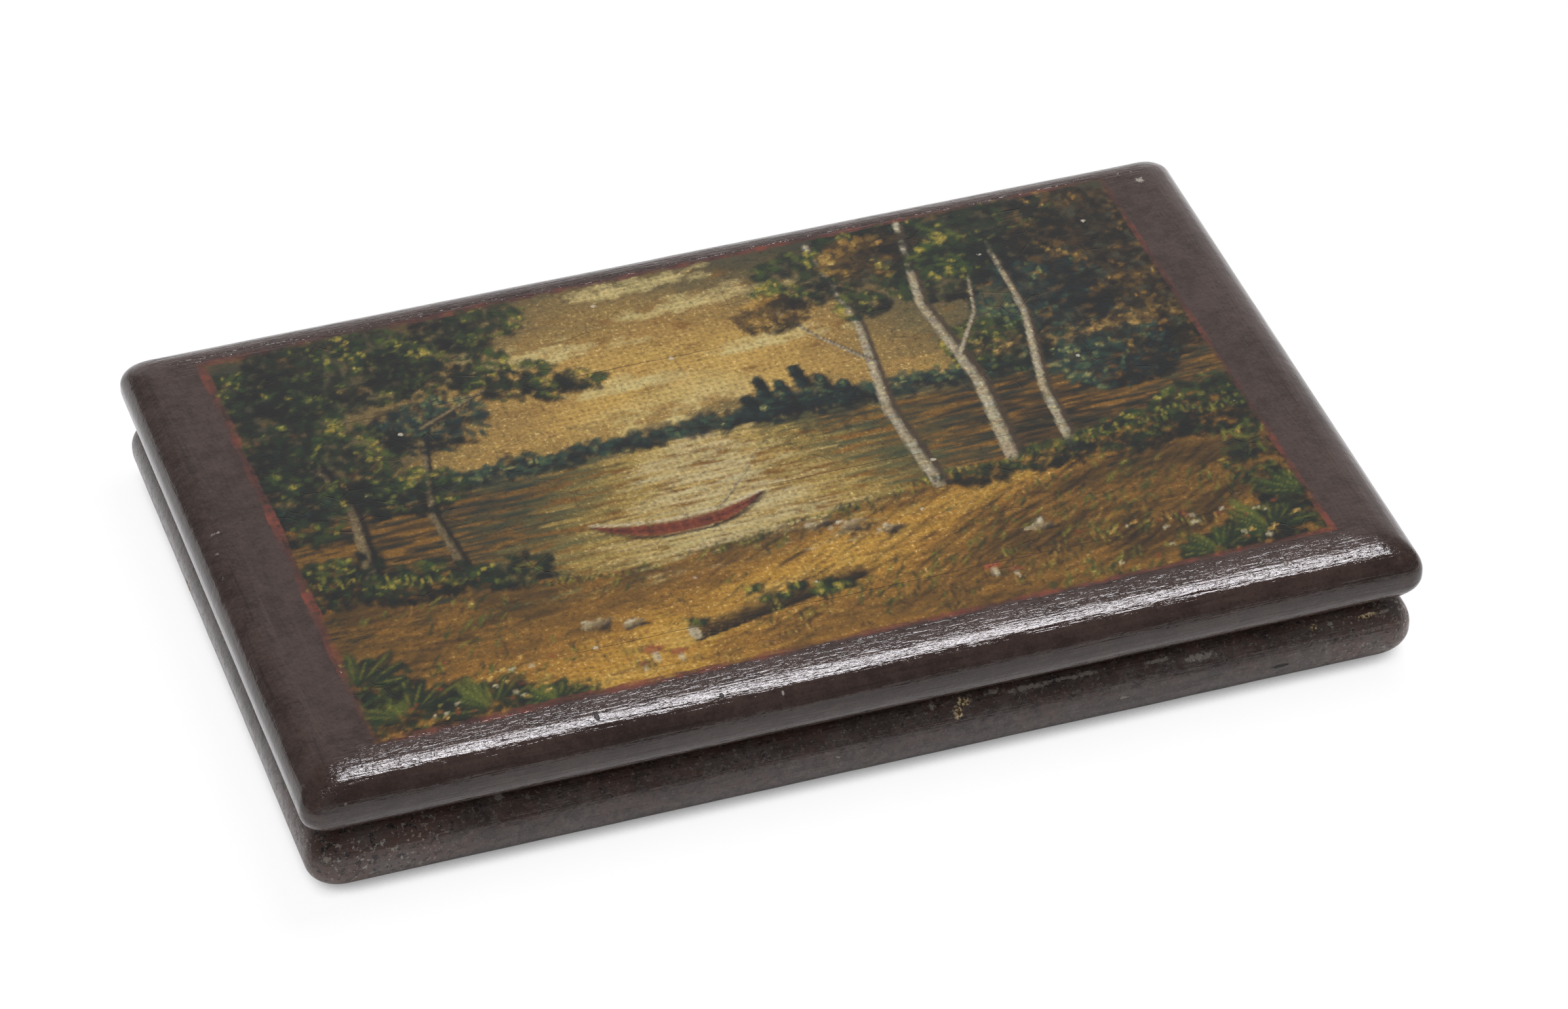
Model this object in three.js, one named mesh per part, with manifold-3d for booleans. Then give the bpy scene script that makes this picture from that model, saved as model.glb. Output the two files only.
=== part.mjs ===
// Flat cigarette box of dark lacquered wood: two slab-like halves with rounded rims, hinged along the
// back. Millimetres. X runs along the box, Y towards the hinged back, Z up. The origin lies under the
// middle of the closed box, on the surface that it stands on.

import * as THREE from 'three';
import { mergeVertices } from 'three/addons/utils/BufferGeometryUtils.js';
import Module from 'manifold-3d';

const wasm = await Module();
wasm.setup();

// Outside of the two halves
const BOX_LENGTH = 150;
const BOX_WIDTH = 95;
const LID_THICK = 8.5;
const BASE_THICK = 9.3;
const SEAM_GAP = 0.5; // daylight between the closed halves
const LID_OVERHANG = 0.6; // how far the lid stands out past the base, all round
const RIM_ROUND = 4.2; // how far the rounding of a rim reaches in over the flat faces
const RIM_BAND = 0.6; // upright band at the middle of a rim
const LID_CORNER = 2.6; // corner radius of the lid, seen from above
const BASE_CORNER = 3.6; // corner radius of the base, seen from above
const FACE_CORNER = 1.4; // corner radius of the flat faces inside the rounding

// Hollow inside the two halves
const RIM_WIDTH = 9; // from the outside of the base to its hollow
const LID_TOP_THICK = 2.8;
const FLOOR_THICK = 2.8;

// Cedar boards that line the base, and whose upper edges locate the lid
const LINER_THICK = 1.6;
const LINER_EDGE = 0.5; // rounding of a board's upper edges
const LIP_HEADROOM = 2; // from the boards' upper edges to the lining of the closed lid
const LIP_CLEARANCE = 0.35; // between the boards and the hollow of the lid
const LINING_THICK = 0.8;
const GLUE_GAP = 0.15; // glue line behind a board or lining
const FIT_GAP = 0.2; // round a lining, and round the ends of the divider

// Divider across the middle of the base
const DIVIDER_THICK = 1.6;
const DIVIDER_DROP = 1.2; // its upper edge below the upper edges of the boards
const HOUSING_DEPTH = 0.8; // groove in a board that holds the divider's end
const SCOOP_WIDTH = 26; // finger scoop in the divider's upper edge
const SCOOP_DEPTH = 2.6;

// Butt hinges in the groove along the back
const HINGE_END = 33; // from an end of the box to the middle of the hinge there
const HINGE_LENGTH = 24;
const HINGE_INSET = 2.4; // from the back of the lid to the pin
const KNUCKLES = 5;
const KNUCKLE_RADIUS = 1.4;
const KNUCKLE_GAP = 0.2; // between neighbouring knuckles
const LEAF_THICK = 0.9;
const LEAF_LAND = 1.6; // wood between a leaf and the hollow
const LEAF_CLEARANCE = 0.2; // round the other leaf's knuckles
const MORTISE_GAP = 0.15; // round a leaf in the wood
const BARREL_GAP = 0.3; // round the knuckles in the wood
const PIN_RADIUS = 0.6;
const PIN_CLEARANCE = 0.06;

// Countersunk screws of the hinges
const SCREW_END = 4.5; // from an end of a leaf to the screw there
const SCREW_HEAD_RADIUS = 1.3;
const SCREW_HEAD_DEPTH = 0.7;
const SCREW_RIM = 0.1; // upright rim round the head
const SCREW_SHANK_RADIUS = 0.55;
const SCREW_LENGTH = 4.6;
const SCREW_POINT = 1.1; // length of the tapered point
const SCREW_SINK = 0.1; // head below the face of the leaf
const SCREW_SLOT_WIDTH = 0.35;
const SCREW_SLOT_DEPTH = 0.3;
const SCREW_CLEARANCE = 0.1;

// Fineness of the round forms
const RIM_STEPS = 10;
const CORNER_STEPS = 4;
const EDGE_STEPS = 3;
const ROUND_SIDES = 20;
const WELD = 1e-4;

// Sizes that follow from those above
const baseLength = BOX_LENGTH - 2 * LID_OVERHANG;
const baseWidth = BOX_WIDTH - 2 * LID_OVERHANG;
const lidBottom = BASE_THICK + SEAM_GAP;
const boxHeight = lidBottom + LID_THICK;
const hollowX = baseLength / 2 - RIM_WIDTH;
const hollowY = baseWidth / 2 - RIM_WIDTH;
const linerX = hollowX - GLUE_GAP;
const linerY = hollowY - GLUE_GAP;
const insideX = linerX - LINER_THICK;
const insideY = linerY - LINER_THICK;
const lidHollowX = linerX + LIP_CLEARANCE;
const lidHollowY = linerY + LIP_CLEARANCE;
const lidCeiling = boxHeight - LID_TOP_THICK;
const lidLiningFace = lidCeiling - GLUE_GAP - LINING_THICK;
const linerTop = lidLiningFace - LIP_HEADROOM;
const linerFoot = FLOOR_THICK + GLUE_GAP;
const floorFace = linerFoot + LINING_THICK;
const hingeY = BOX_WIDTH / 2 - HINGE_INSET;
const hingeZ = BASE_THICK + SEAM_GAP / 2;
const leafDepth = hingeY - hollowY - LEAF_LAND;
const screwRow = (leafDepth + KNUCKLE_RADIUS) / 2;
const leafFace = SEAM_GAP / 2;
const hingeX = BOX_LENGTH / 2 - HINGE_END;
const hingeMiddles = { left: -hingeX, right: hingeX };

const finish = (color, roughness, metalness = 0) =>
  new THREE.MeshStandardMaterial({ color, roughness, metalness });
const lacquer = () => finish(0x4a3f3a, 0.35);
const cedar = () => finish(0x9a6642, 0.7);
const brass = () => finish(0xb08d4a, 0.4, 1);

// Closed mesh to solid and back
function solidOf(geometry) {
  const bare = geometry.clone();
  bare.deleteAttribute('normal');
  bare.deleteAttribute('uv');
  const welded = mergeVertices(bare, WELD);
  const mesh = new wasm.Mesh({
    numProp: 3,
    vertProperties: new Float32Array(welded.attributes.position.array),
    triVerts: new Uint32Array(welded.index.array),
  });
  return new wasm.Manifold(mesh);
}

function geometryOf(solid) {
  const mesh = solid.getMesh();
  const geometry = new THREE.BufferGeometry();
  geometry.setAttribute('position', new THREE.BufferAttribute(mesh.vertProperties, 3));
  geometry.setIndex(new THREE.BufferAttribute(mesh.triVerts, 1));
  geometry.computeVertexNormals();
  return geometry;
}

// Plain solids, between two places on each axis
function block(x, y, z) {
  const [deep, wide, high] = [x, y, z].map(([from, to]) => Math.abs(to - from));
  const middle = [x, y, z].map(([from, to]) => (from + to) / 2);
  const geometry = new THREE.BoxGeometry(deep, wide, high);
  geometry.translate(...middle);
  return solidOf(geometry);
}

function rodAlongX(radius, x) {
  const geometry = new THREE.CylinderGeometry(radius, radius, x[1] - x[0], ROUND_SIDES);
  geometry.rotateZ(Math.PI / 2);
  geometry.translate((x[0] + x[1]) / 2, 0, 0);
  return solidOf(geometry);
}

// Skin over a row of convex rings with equal numbers of points, closed at both ends
function loft(rings) {
  const count = rings[0].length;
  const last = (rings.length - 1) * count;
  const positions = rings.flat().flatMap((point) => point.toArray());
  const triangles = [];
  for (let ring = 0; ring < rings.length - 1; ring += 1) {
    for (let i = 0; i < count; i += 1) {
      const a = ring * count + i;
      const b = ring * count + (i + 1) % count;
      triangles.push(a, b, b + count, a, b + count, a + count);
    }
  }
  for (let i = 1; i < count - 1; i += 1) {
    triangles.push(0, i + 1, i);
    triangles.push(last, last + i, last + i + 1);
  }
  const geometry = new THREE.BufferGeometry();
  geometry.setAttribute('position', new THREE.Float32BufferAttribute(positions, 3));
  geometry.setIndex(triangles);
  return geometry;
}

function roundedRectangle(halfX, halfY, radius) {
  const shape = new THREE.Shape();
  shape.absarc(halfX - radius, -halfY + radius, radius, -Math.PI / 2, 0);
  shape.absarc(halfX - radius, halfY - radius, radius, 0, Math.PI / 2);
  shape.absarc(-halfX + radius, halfY - radius, radius, Math.PI / 2, Math.PI);
  shape.absarc(-halfX + radius, -halfY + radius, radius, Math.PI, Math.PI * 1.5);
  return shape.getPoints(CORNER_STEPS);
}

// One half of the box as a full board: its rim is rounded above and below, up to an upright band
function roundedBoard(length, width, thick, corner, bottom) {
  const rise = (thick - RIM_BAND) / 2;
  const ringAt = (inset, z) => {
    const radius = THREE.MathUtils.lerp(corner, FACE_CORNER, inset / RIM_ROUND);
    const outline = roundedRectangle(length / 2 - inset, width / 2 - inset, radius);
    return outline.map((point) => new THREE.Vector3(point.x, point.y, bottom + z));
  };
  const lower = [];
  const upper = [];
  for (let step = 0; step <= RIM_STEPS; step += 1) {
    const angle = (step / RIM_STEPS) * Math.PI / 2;
    const inset = RIM_ROUND * (1 - Math.sin(angle));
    const z = rise * (1 - Math.cos(angle));
    lower.push(ringAt(inset, z));
    upper.unshift(ringAt(inset, thick - z));
  }
  return solidOf(loft([...lower, ...upper]));
}

// A screw, grown by a clearance where it stands for its hole. The countersunk head lies just under the
// origin with the point below it, and a hole goes on up to its mouth.
function screwForm(clearance, mouth) {
  const head = SCREW_HEAD_RADIUS + clearance;
  const shank = SCREW_SHANK_RADIUS + clearance;
  const tip = -SCREW_LENGTH - clearance;
  const profile = [
    new THREE.Vector2(0, tip),
    new THREE.Vector2(shank, tip + SCREW_POINT),
    new THREE.Vector2(shank, -SCREW_HEAD_DEPTH),
    new THREE.Vector2(head, -SCREW_RIM),
    new THREE.Vector2(head, mouth),
    new THREE.Vector2(0, mouth),
  ];
  const geometry = new THREE.LatheGeometry(profile, ROUND_SIDES);
  geometry.rotateX(Math.PI / 2);
  return solidOf(geometry);
}

const screwHole = () => screwForm(SCREW_CLEARANCE, SCREW_SINK + SCREW_CLEARANCE);

// Places of the screws in a leaf. The hinge's own frame has the pin along X at its origin, the closed
// seam at z = 0, and the lid's leaf on the upper side (+1) or the base's on the lower (-1).
function placeScrew(form, side, end) {
  const facing = side > 0 ? form.rotate([180, 0, 0]) : form;
  const z = side * (leafFace + SCREW_SINK);
  return facing.translate([end * (HINGE_LENGTH / 2 - SCREW_END), -screwRow, z]);
}

function knuckleSpan(index) {
  const pitch = HINGE_LENGTH / KNUCKLES;
  const start = -HINGE_LENGTH / 2 + index * pitch;
  return [start, start + pitch];
}

// The knuckles belong in turn to the base, which has the first, and to the lid
const knuckleSide = (index) => (index % 2 === 0 ? -1 : 1);

// A plate with its own knuckles along one edge, cut back round those of the other leaf
function hingeLeaf(side) {
  const plateZ = [side * leafFace, side * (leafFace + LEAF_THICK)];
  let leaf = block([-HINGE_LENGTH / 2, HINGE_LENGTH / 2], [-leafDepth, 0], plateZ);
  for (let index = 0; index < KNUCKLES; index += 1) {
    const [start, end] = knuckleSpan(index);
    if (knuckleSide(index) === side) {
      const knuckle = [start + KNUCKLE_GAP / 2, end - KNUCKLE_GAP / 2];
      leaf = leaf.add(rodAlongX(KNUCKLE_RADIUS, knuckle));
    } else {
      leaf = leaf.subtract(rodAlongX(KNUCKLE_RADIUS + LEAF_CLEARANCE, [start, end]));
    }
  }
  leaf = leaf.subtract(rodAlongX(PIN_RADIUS + PIN_CLEARANCE, [-HINGE_LENGTH, HINGE_LENGTH]));
  for (const end of [-1, 1]) {
    leaf = leaf.subtract(placeScrew(screwHole(), side, end));
  }
  return leaf;
}

function hingePin() {
  const half = HINGE_LENGTH / 2 - KNUCKLE_GAP / 2;
  return rodAlongX(PIN_RADIUS, [-half, half]);
}

function hingeScrew(side, end) {
  const slot = block(
    [-SCREW_HEAD_RADIUS * 2, SCREW_HEAD_RADIUS * 2],
    [-SCREW_SLOT_WIDTH / 2, SCREW_SLOT_WIDTH / 2],
    [-SCREW_SLOT_DEPTH, SCREW_SLOT_DEPTH],
  );
  return placeScrew(screwForm(0, 0).subtract(slot), side, end);
}

// Everything that is cut out of one half for a hinge: the leaf's mortise, the trough round the
// knuckles and the screw holes
function hingeCut(side) {
  const half = HINGE_LENGTH / 2 + MORTISE_GAP;
  const depth = side * (leafFace + LEAF_THICK + MORTISE_GAP);
  const mortise = block([-half, half], [-leafDepth - MORTISE_GAP, 0], [0, depth]);
  let cut = mortise.add(rodAlongX(KNUCKLE_RADIUS + BARREL_GAP, [-half, half]));
  for (const end of [-1, 1]) {
    cut = cut.add(placeScrew(screwHole(), side, end));
  }
  return cut;
}

const atHinge = (solid, middle) => solid.translate([middle, hingeY, hingeZ]);

function cutForHinges(board, side) {
  return Object.values(hingeMiddles).reduce(
    (rest, middle) => rest.subtract(atHinge(hingeCut(side), middle)),
    board,
  );
}

function lidShell() {
  const board = roundedBoard(BOX_LENGTH, BOX_WIDTH, LID_THICK, LID_CORNER, lidBottom);
  const hollow = block(
    [-lidHollowX, lidHollowX],
    [-lidHollowY, lidHollowY],
    [lidBottom - SEAM_GAP, lidCeiling],
  );
  return cutForHinges(board.subtract(hollow), 1);
}

function baseShell() {
  const board = roundedBoard(baseLength, baseWidth, BASE_THICK, BASE_CORNER, 0);
  const hollow = block([-hollowX, hollowX], [-hollowY, hollowY], [FLOOR_THICK, lidBottom]);
  return cutForHinges(board.subtract(hollow), -1);
}

// Board of the liner along X with mitred ends, made at the front; its outside faces -Y
function linerBoard(halfLength, halfWidth) {
  const outer = -halfWidth;
  const inner = outer + LINER_THICK;
  const section = new THREE.Shape();
  section.moveTo(outer, linerFoot);
  section.lineTo(inner, linerFoot);
  section.absarc(inner - LINER_EDGE, linerTop - LINER_EDGE, LINER_EDGE, 0, Math.PI / 2);
  section.absarc(outer + LINER_EDGE, linerTop - LINER_EDGE, LINER_EDGE, Math.PI / 2, Math.PI);
  const outline = section.getPoints(EDGE_STEPS);
  const endAt = (side) => outline.map(({ x: y, y: z }) => {
    const mitre = halfLength - (y - outer) - GLUE_GAP / 2;
    return new THREE.Vector3(side * mitre, y, z);
  });
  return solidOf(loft([endAt(-1), endAt(1)]));
}

function longLiner(turn) {
  const housing = block(
    [-DIVIDER_THICK / 2 - FIT_GAP, DIVIDER_THICK / 2 + FIT_GAP],
    [-insideY - HOUSING_DEPTH, -insideY + HOUSING_DEPTH],
    [linerFoot - GLUE_GAP, linerTop + GLUE_GAP],
  );
  return linerBoard(linerX, linerY).subtract(housing).rotate([0, 0, turn]);
}

const endLiner = (turn) => linerBoard(linerY, linerX).rotate([0, 0, turn]);

function baseLining() {
  return block(
    [-insideX + FIT_GAP, insideX - FIT_GAP],
    [-insideY + FIT_GAP, insideY - FIT_GAP],
    [linerFoot, floorFace],
  );
}

function lidLining() {
  return block(
    [-lidHollowX + FIT_GAP, lidHollowX - FIT_GAP],
    [-lidHollowY + FIT_GAP, lidHollowY - FIT_GAP],
    [lidLiningFace, lidCeiling - GLUE_GAP],
  );
}

// Upright board across the box. Its upper edge dips in an arc, to let a finger under the contents.
function divider() {
  const half = insideY + HOUSING_DEPTH - FIT_GAP;
  const foot = floorFace + GLUE_GAP;
  const top = linerTop - DIVIDER_DROP;
  const scoopRadius = (SCOOP_WIDTH ** 2 / 4 + SCOOP_DEPTH ** 2) / (2 * SCOOP_DEPTH);
  const scoopAngle = Math.asin(SCOOP_WIDTH / 2 / scoopRadius);
  const scoopMiddle = top - SCOOP_DEPTH + scoopRadius;
  const face = new THREE.Shape();
  face.moveTo(-half, foot);
  face.lineTo(half, foot);
  face.lineTo(half, top);
  const start = -Math.PI / 2 + scoopAngle;
  face.absarc(0, scoopMiddle, scoopRadius, start, -Math.PI / 2 - scoopAngle, true);
  face.lineTo(-half, top);
  const geometry = new THREE.ExtrudeGeometry(face, {
    depth: DIVIDER_THICK,
    bevelEnabled: false,
    curveSegments: ROUND_SIDES,
  });
  geometry.translate(0, 0, -DIVIDER_THICK / 2);
  geometry.rotateX(Math.PI / 2);
  geometry.rotateZ(Math.PI / 2);
  return solidOf(geometry);
}

const box = new THREE.Group();

function addPiece(name, solid, material) {
  const mesh = new THREE.Mesh(geometryOf(solid), material);
  mesh.name = name;
  box.add(mesh);
}

addPiece('lid_shell', lidShell(), lacquer());
addPiece('base_shell', baseShell(), lacquer());
addPiece('lid_lining', lidLining(), cedar());
addPiece('base_lining', baseLining(), cedar());
addPiece('liner_front', longLiner(0), cedar());
addPiece('liner_back', longLiner(180), cedar());
addPiece('liner_left', endLiner(-90), cedar());
addPiece('liner_right', endLiner(90), cedar());
addPiece('divider', divider(), cedar());

for (const [place, middle] of Object.entries(hingeMiddles)) {
  addPiece(`hinge_${place}_base_leaf`, atHinge(hingeLeaf(-1), middle), brass());
  addPiece(`hinge_${place}_lid_leaf`, atHinge(hingeLeaf(1), middle), brass());
  addPiece(`hinge_${place}_pin`, atHinge(hingePin(), middle), brass());
  for (const [half, side] of [['base', -1], ['lid', 1]]) {
    for (const end of [-1, 1]) {
      const name = `hinge_${place}_${half}_screw_${end < 0 ? 'a' : 'b'}`;
      addPiece(name, atHinge(hingeScrew(side, end), middle), brass());
    }
  }
}

export default box;
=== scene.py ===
# %% [markdown]
# # A lacquered cigarette box with a painted lid
# The box is two shallow wooden halves with round rims, hinged along the back, lacquered a dark purplish
# brown. The lid carries a landscape in oils inside a thin red line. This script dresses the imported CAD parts:
# it makes finer meshes for the pieces that show, gives every piece a finish built from nodes, and sets the
# light and the camera of the photograph. All lengths are metres, in the frame of the CAD parts.

import math

import bmesh
import bpy
import numpy as np
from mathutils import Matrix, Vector


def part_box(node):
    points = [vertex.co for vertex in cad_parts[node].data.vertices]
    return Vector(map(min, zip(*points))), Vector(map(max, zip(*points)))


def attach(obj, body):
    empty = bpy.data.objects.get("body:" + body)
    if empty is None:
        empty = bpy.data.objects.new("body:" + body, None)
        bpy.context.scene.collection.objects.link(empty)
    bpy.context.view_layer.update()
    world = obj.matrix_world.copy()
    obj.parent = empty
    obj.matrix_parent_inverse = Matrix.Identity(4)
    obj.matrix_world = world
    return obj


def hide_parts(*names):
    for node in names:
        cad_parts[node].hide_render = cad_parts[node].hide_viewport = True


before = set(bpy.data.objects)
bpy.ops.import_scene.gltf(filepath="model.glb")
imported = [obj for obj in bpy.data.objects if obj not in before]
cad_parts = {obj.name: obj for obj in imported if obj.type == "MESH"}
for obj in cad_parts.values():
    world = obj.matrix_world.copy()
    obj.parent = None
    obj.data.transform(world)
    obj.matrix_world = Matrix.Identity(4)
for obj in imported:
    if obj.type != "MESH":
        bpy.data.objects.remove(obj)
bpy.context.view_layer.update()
MM = 0.001

# %% [markdown]
# ## Small helpers for nodes
# Every finish below is a few dozen nodes. Writing each one as four lines of Python would hide the idea. So
# one helper adds a node and fills its inputs, and numbers that come out of nodes can be calculated with by
# Python's own signs: each sign adds one Math node to the tree.

# %% Numbers from nodes
class Number:
    """A number that comes out of a node, ready for Python's own signs."""

    def __init__(self, tree, socket):
        self.tree, self.socket = tree, socket

    def __add__(self, other):
        return calc(self.tree, "ADD", self, other)

    def __sub__(self, other):
        return calc(self.tree, "SUBTRACT", self, other)

    def __mul__(self, other):
        return calc(self.tree, "MULTIPLY", self, other)

    def __truediv__(self, other):
        return calc(self.tree, "DIVIDE", self, other)

    def __mod__(self, other):
        return calc(self.tree, "MODULO", self, other)

    def __gt__(self, other):
        return calc(self.tree, "GREATER_THAN", self, other)

    def __neg__(self):
        return calc(self.tree, "MULTIPLY", self, -1.0)

    def __abs__(self):
        return calc(self.tree, "ABSOLUTE", self)


def wire(tree, target, value):
    """Links a number or a socket to a target, or sets the target's own value."""
    if isinstance(value, Number):
        value = value.socket
    if isinstance(value, bpy.types.NodeSocket):
        tree.links.new(value, target)
    else:
        target.default_value = value


def put(tree, kind, inputs=None, **settings):
    """Adds a node, applies its settings and fills its inputs, which go by name or by place."""
    node = tree.nodes.new(kind)
    for name, value in settings.items():
        setattr(node, name, value)
    for name, value in (inputs or {}).items():
        wire(tree, node.inputs[name], value)
    return node


def calc(tree, operation, *values, clamp=False):
    """One Math node."""
    node = put(tree, "ShaderNodeMath", dict(enumerate(values)), operation=operation, use_clamp=clamp)
    return Number(tree, node.outputs[0])


def larger(first, second):
    return calc(first.tree, "MAXIMUM", first, second)


def between(share, first, second):
    """The number that lies this share of the way from the first to the second."""
    return (second - first) * share + first


print("numbers from nodes ready")

# %% Colours, masks and patterns
def blend(tree, share, first, second):
    """Mixes two colours by a share from 0 to 1."""
    return put(tree, "ShaderNodeMix", {0: share, 6: first, 7: second}, data_type="RGBA").outputs[2]


def spread(value, low, high, to_low=0.0, to_high=1.0):
    """Maps low..high smoothly onto to_low..to_high."""
    inputs = {"Value": value, "From Min": low, "From Max": high, "To Min": to_low, "To Max": to_high}
    node = put(value.tree, "ShaderNodeMapRange", inputs, interpolation_type="SMOOTHSTEP")
    return Number(value.tree, node.outputs[0])


def speckle(tree, where, scale, detail=2.0, rough=0.5, stretch=None):
    """Noise from 0 to 1, finer with a larger scale, and drawn out where stretch differs by axis."""
    if stretch:
        where = put(tree, "ShaderNodeMapping", {"Vector": where, "Scale": stretch}).outputs[0]
    inputs = {"Vector": where, "Scale": scale, "Detail": detail, "Roughness": rough}
    return Number(tree, put(tree, "ShaderNodeTexNoise", inputs).outputs["Fac"])


def cells(tree, where, scale):
    """Scattered cells: how far a point is from its cell's middle, and the cell's own number from 0 to 1."""
    node = put(tree, "ShaderNodeTexVoronoi", {"Vector": where, "Scale": scale})
    own = put(tree, "ShaderNodeSeparateColor", {0: node.outputs["Color"]}).outputs[0]
    return Number(tree, node.outputs["Distance"]), Number(tree, own)


def box_place(tree):
    """Where a point lies on the box, in metres."""
    return put(tree, "ShaderNodeTexCoord").outputs["Object"]


def split(tree, where):
    """The three numbers of a place."""
    return [Number(tree, part) for part in put(tree, "ShaderNodeSeparateXYZ", {0: where}).outputs]


def layer_value(tree, name):
    """Reads a layer of numbers that a mesh carries at its points."""
    return put(tree, "ShaderNodeAttribute", attribute_name=name).outputs["Fac"]


print("colours, masks and patterns ready")

# %% Groups and materials
def sockets(node):
    """The outputs of a node by name, with the numbers among them ready for calculation."""
    return {s.name: Number(s.id_data, s) if s.type in ("VALUE", "INT") else s for s in node.outputs}


SURFACE = (("Colour", "Color"), ("Roughness", "Float"), ("Height", "Float"))


def effect(name, inputs, outputs=SURFACE):
    """Starts a shader node group; inputs and outputs are pairs of name and kind."""
    group = bpy.data.node_groups.new(name, "ShaderNodeTree")
    for way, pairs in (("INPUT", inputs), ("OUTPUT", outputs)):
        for label, kind in pairs:
            group.interface.new_socket(label, in_out=way, socket_type=f"NodeSocket{kind}")
    start = group.nodes.new("NodeGroupInput")
    return group, sockets(start), group.nodes.new("NodeGroupOutput").inputs


def give(group, out, *values):
    """Sends the colour, the roughness and the height of a surface out of its group."""
    for (label, _), value in zip(SURFACE, values):
        wire(group, out[label], value)


def use(tree, group, inputs=None):
    """Puts a node group into a tree and returns its outputs."""
    return sockets(put(tree, "ShaderNodeGroup", inputs, node_tree=group))


def finish(name, **constants):
    """A new material with one Principled BSDF, whose constant inputs are set on the shader itself."""
    material = bpy.data.materials.new(name)
    material.use_nodes = True
    shader = material.node_tree.nodes["Principled BSDF"]
    for label, value in constants.items():
        shader.inputs[label.replace("_", " ")].default_value = value
    return material, material.node_tree, shader


def coat_shader(tree, shader, look, depth):
    """Gives a shader its colour, its roughness and a bump whose height of 1 is this many metres."""
    bump = put(tree, "ShaderNodeBump", {"Height": look["Height"], "Distance": depth, "Strength": 1.0})
    wire(tree, shader.inputs["Base Color"], look["Colour"])
    wire(tree, shader.inputs["Roughness"], look["Roughness"])
    wire(tree, shader.inputs["Normal"], bump.outputs["Normal"])


print("groups and materials ready")

# %% [markdown]
# ## Lacquer
# The lacquer is many thin brushed coats over the wood, gone a little uneven with age. Up close it shows faint
# brush marks that run along each rim, a fine orange-peel skin, cloudy colour, and a warmer brown where hands
# have rubbed it, which on the base by the groove is partly painted light. One node group makes all of that for
# both halves, so that lid and base match.

# %% Colours of the lacquer
COAT_DARK, COAT_LIGHT = (0.035, 0.020, 0.0155, 1), (0.058, 0.036, 0.029, 1)
STREAK_LIGHT, STREAK_DARK = (0.080, 0.051, 0.041, 1), (0.014, 0.009, 0.008, 1)
GRAIN_DARK, GRAIN_LIGHT = (0.012, 0.008, 0.007, 1), (0.090, 0.061, 0.050, 1)
WORN_WARM, WORN_GREY = (0.135, 0.072, 0.052, 1), (0.135, 0.105, 0.090, 1)
PIT, GRIT, DUST = (0.010, 0.007, 0.006, 1), (0.38, 0.34, 0.30, 1), (0.27, 0.22, 0.18, 1)
print("lacquer colours ready")

# %% The lacquer node group
def along_rim(tree, place, ends, coarse, fine):
    """Noise drawn out along the box, or across it where the ends are."""
    along_x = speckle(tree, place, 1.0, 3.0, 0.6, (coarse, fine, fine))
    along_y = speckle(tree, place, 1.0, 3.0, 0.6, (fine, coarse, fine))
    return between(ends, along_x, along_y)


def coat_colour(group, place, streak, rim):
    """The colour of sound lacquer: clouds, brush streaks and a fine grain."""
    broad = speckle(group, place, 95, 5.0, 0.6)
    mottle = speckle(group, place, 380, 4.0, 0.65)
    grain = speckle(group, place, 2400, 3.0, 0.7)
    brushed = rim * 0.4 + 0.15
    colour = blend(group, spread(mottle * 0.45 + broad * 0.55, 0.38, 0.62), COAT_DARK, COAT_LIGHT)
    colour = blend(group, spread(streak, 0.52, 0.8) * brushed, colour, STREAK_LIGHT)
    colour = blend(group, spread(streak, 0.45, 0.25) * brushed, colour, STREAK_DARK)
    colour = blend(group, spread(grain, 0.48, 0.30, 0.0, 0.5), colour, GRAIN_DARK)
    return blend(group, spread(grain, 0.55, 0.72, 0.0, 0.4), colour, GRAIN_LIGHT)


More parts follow.
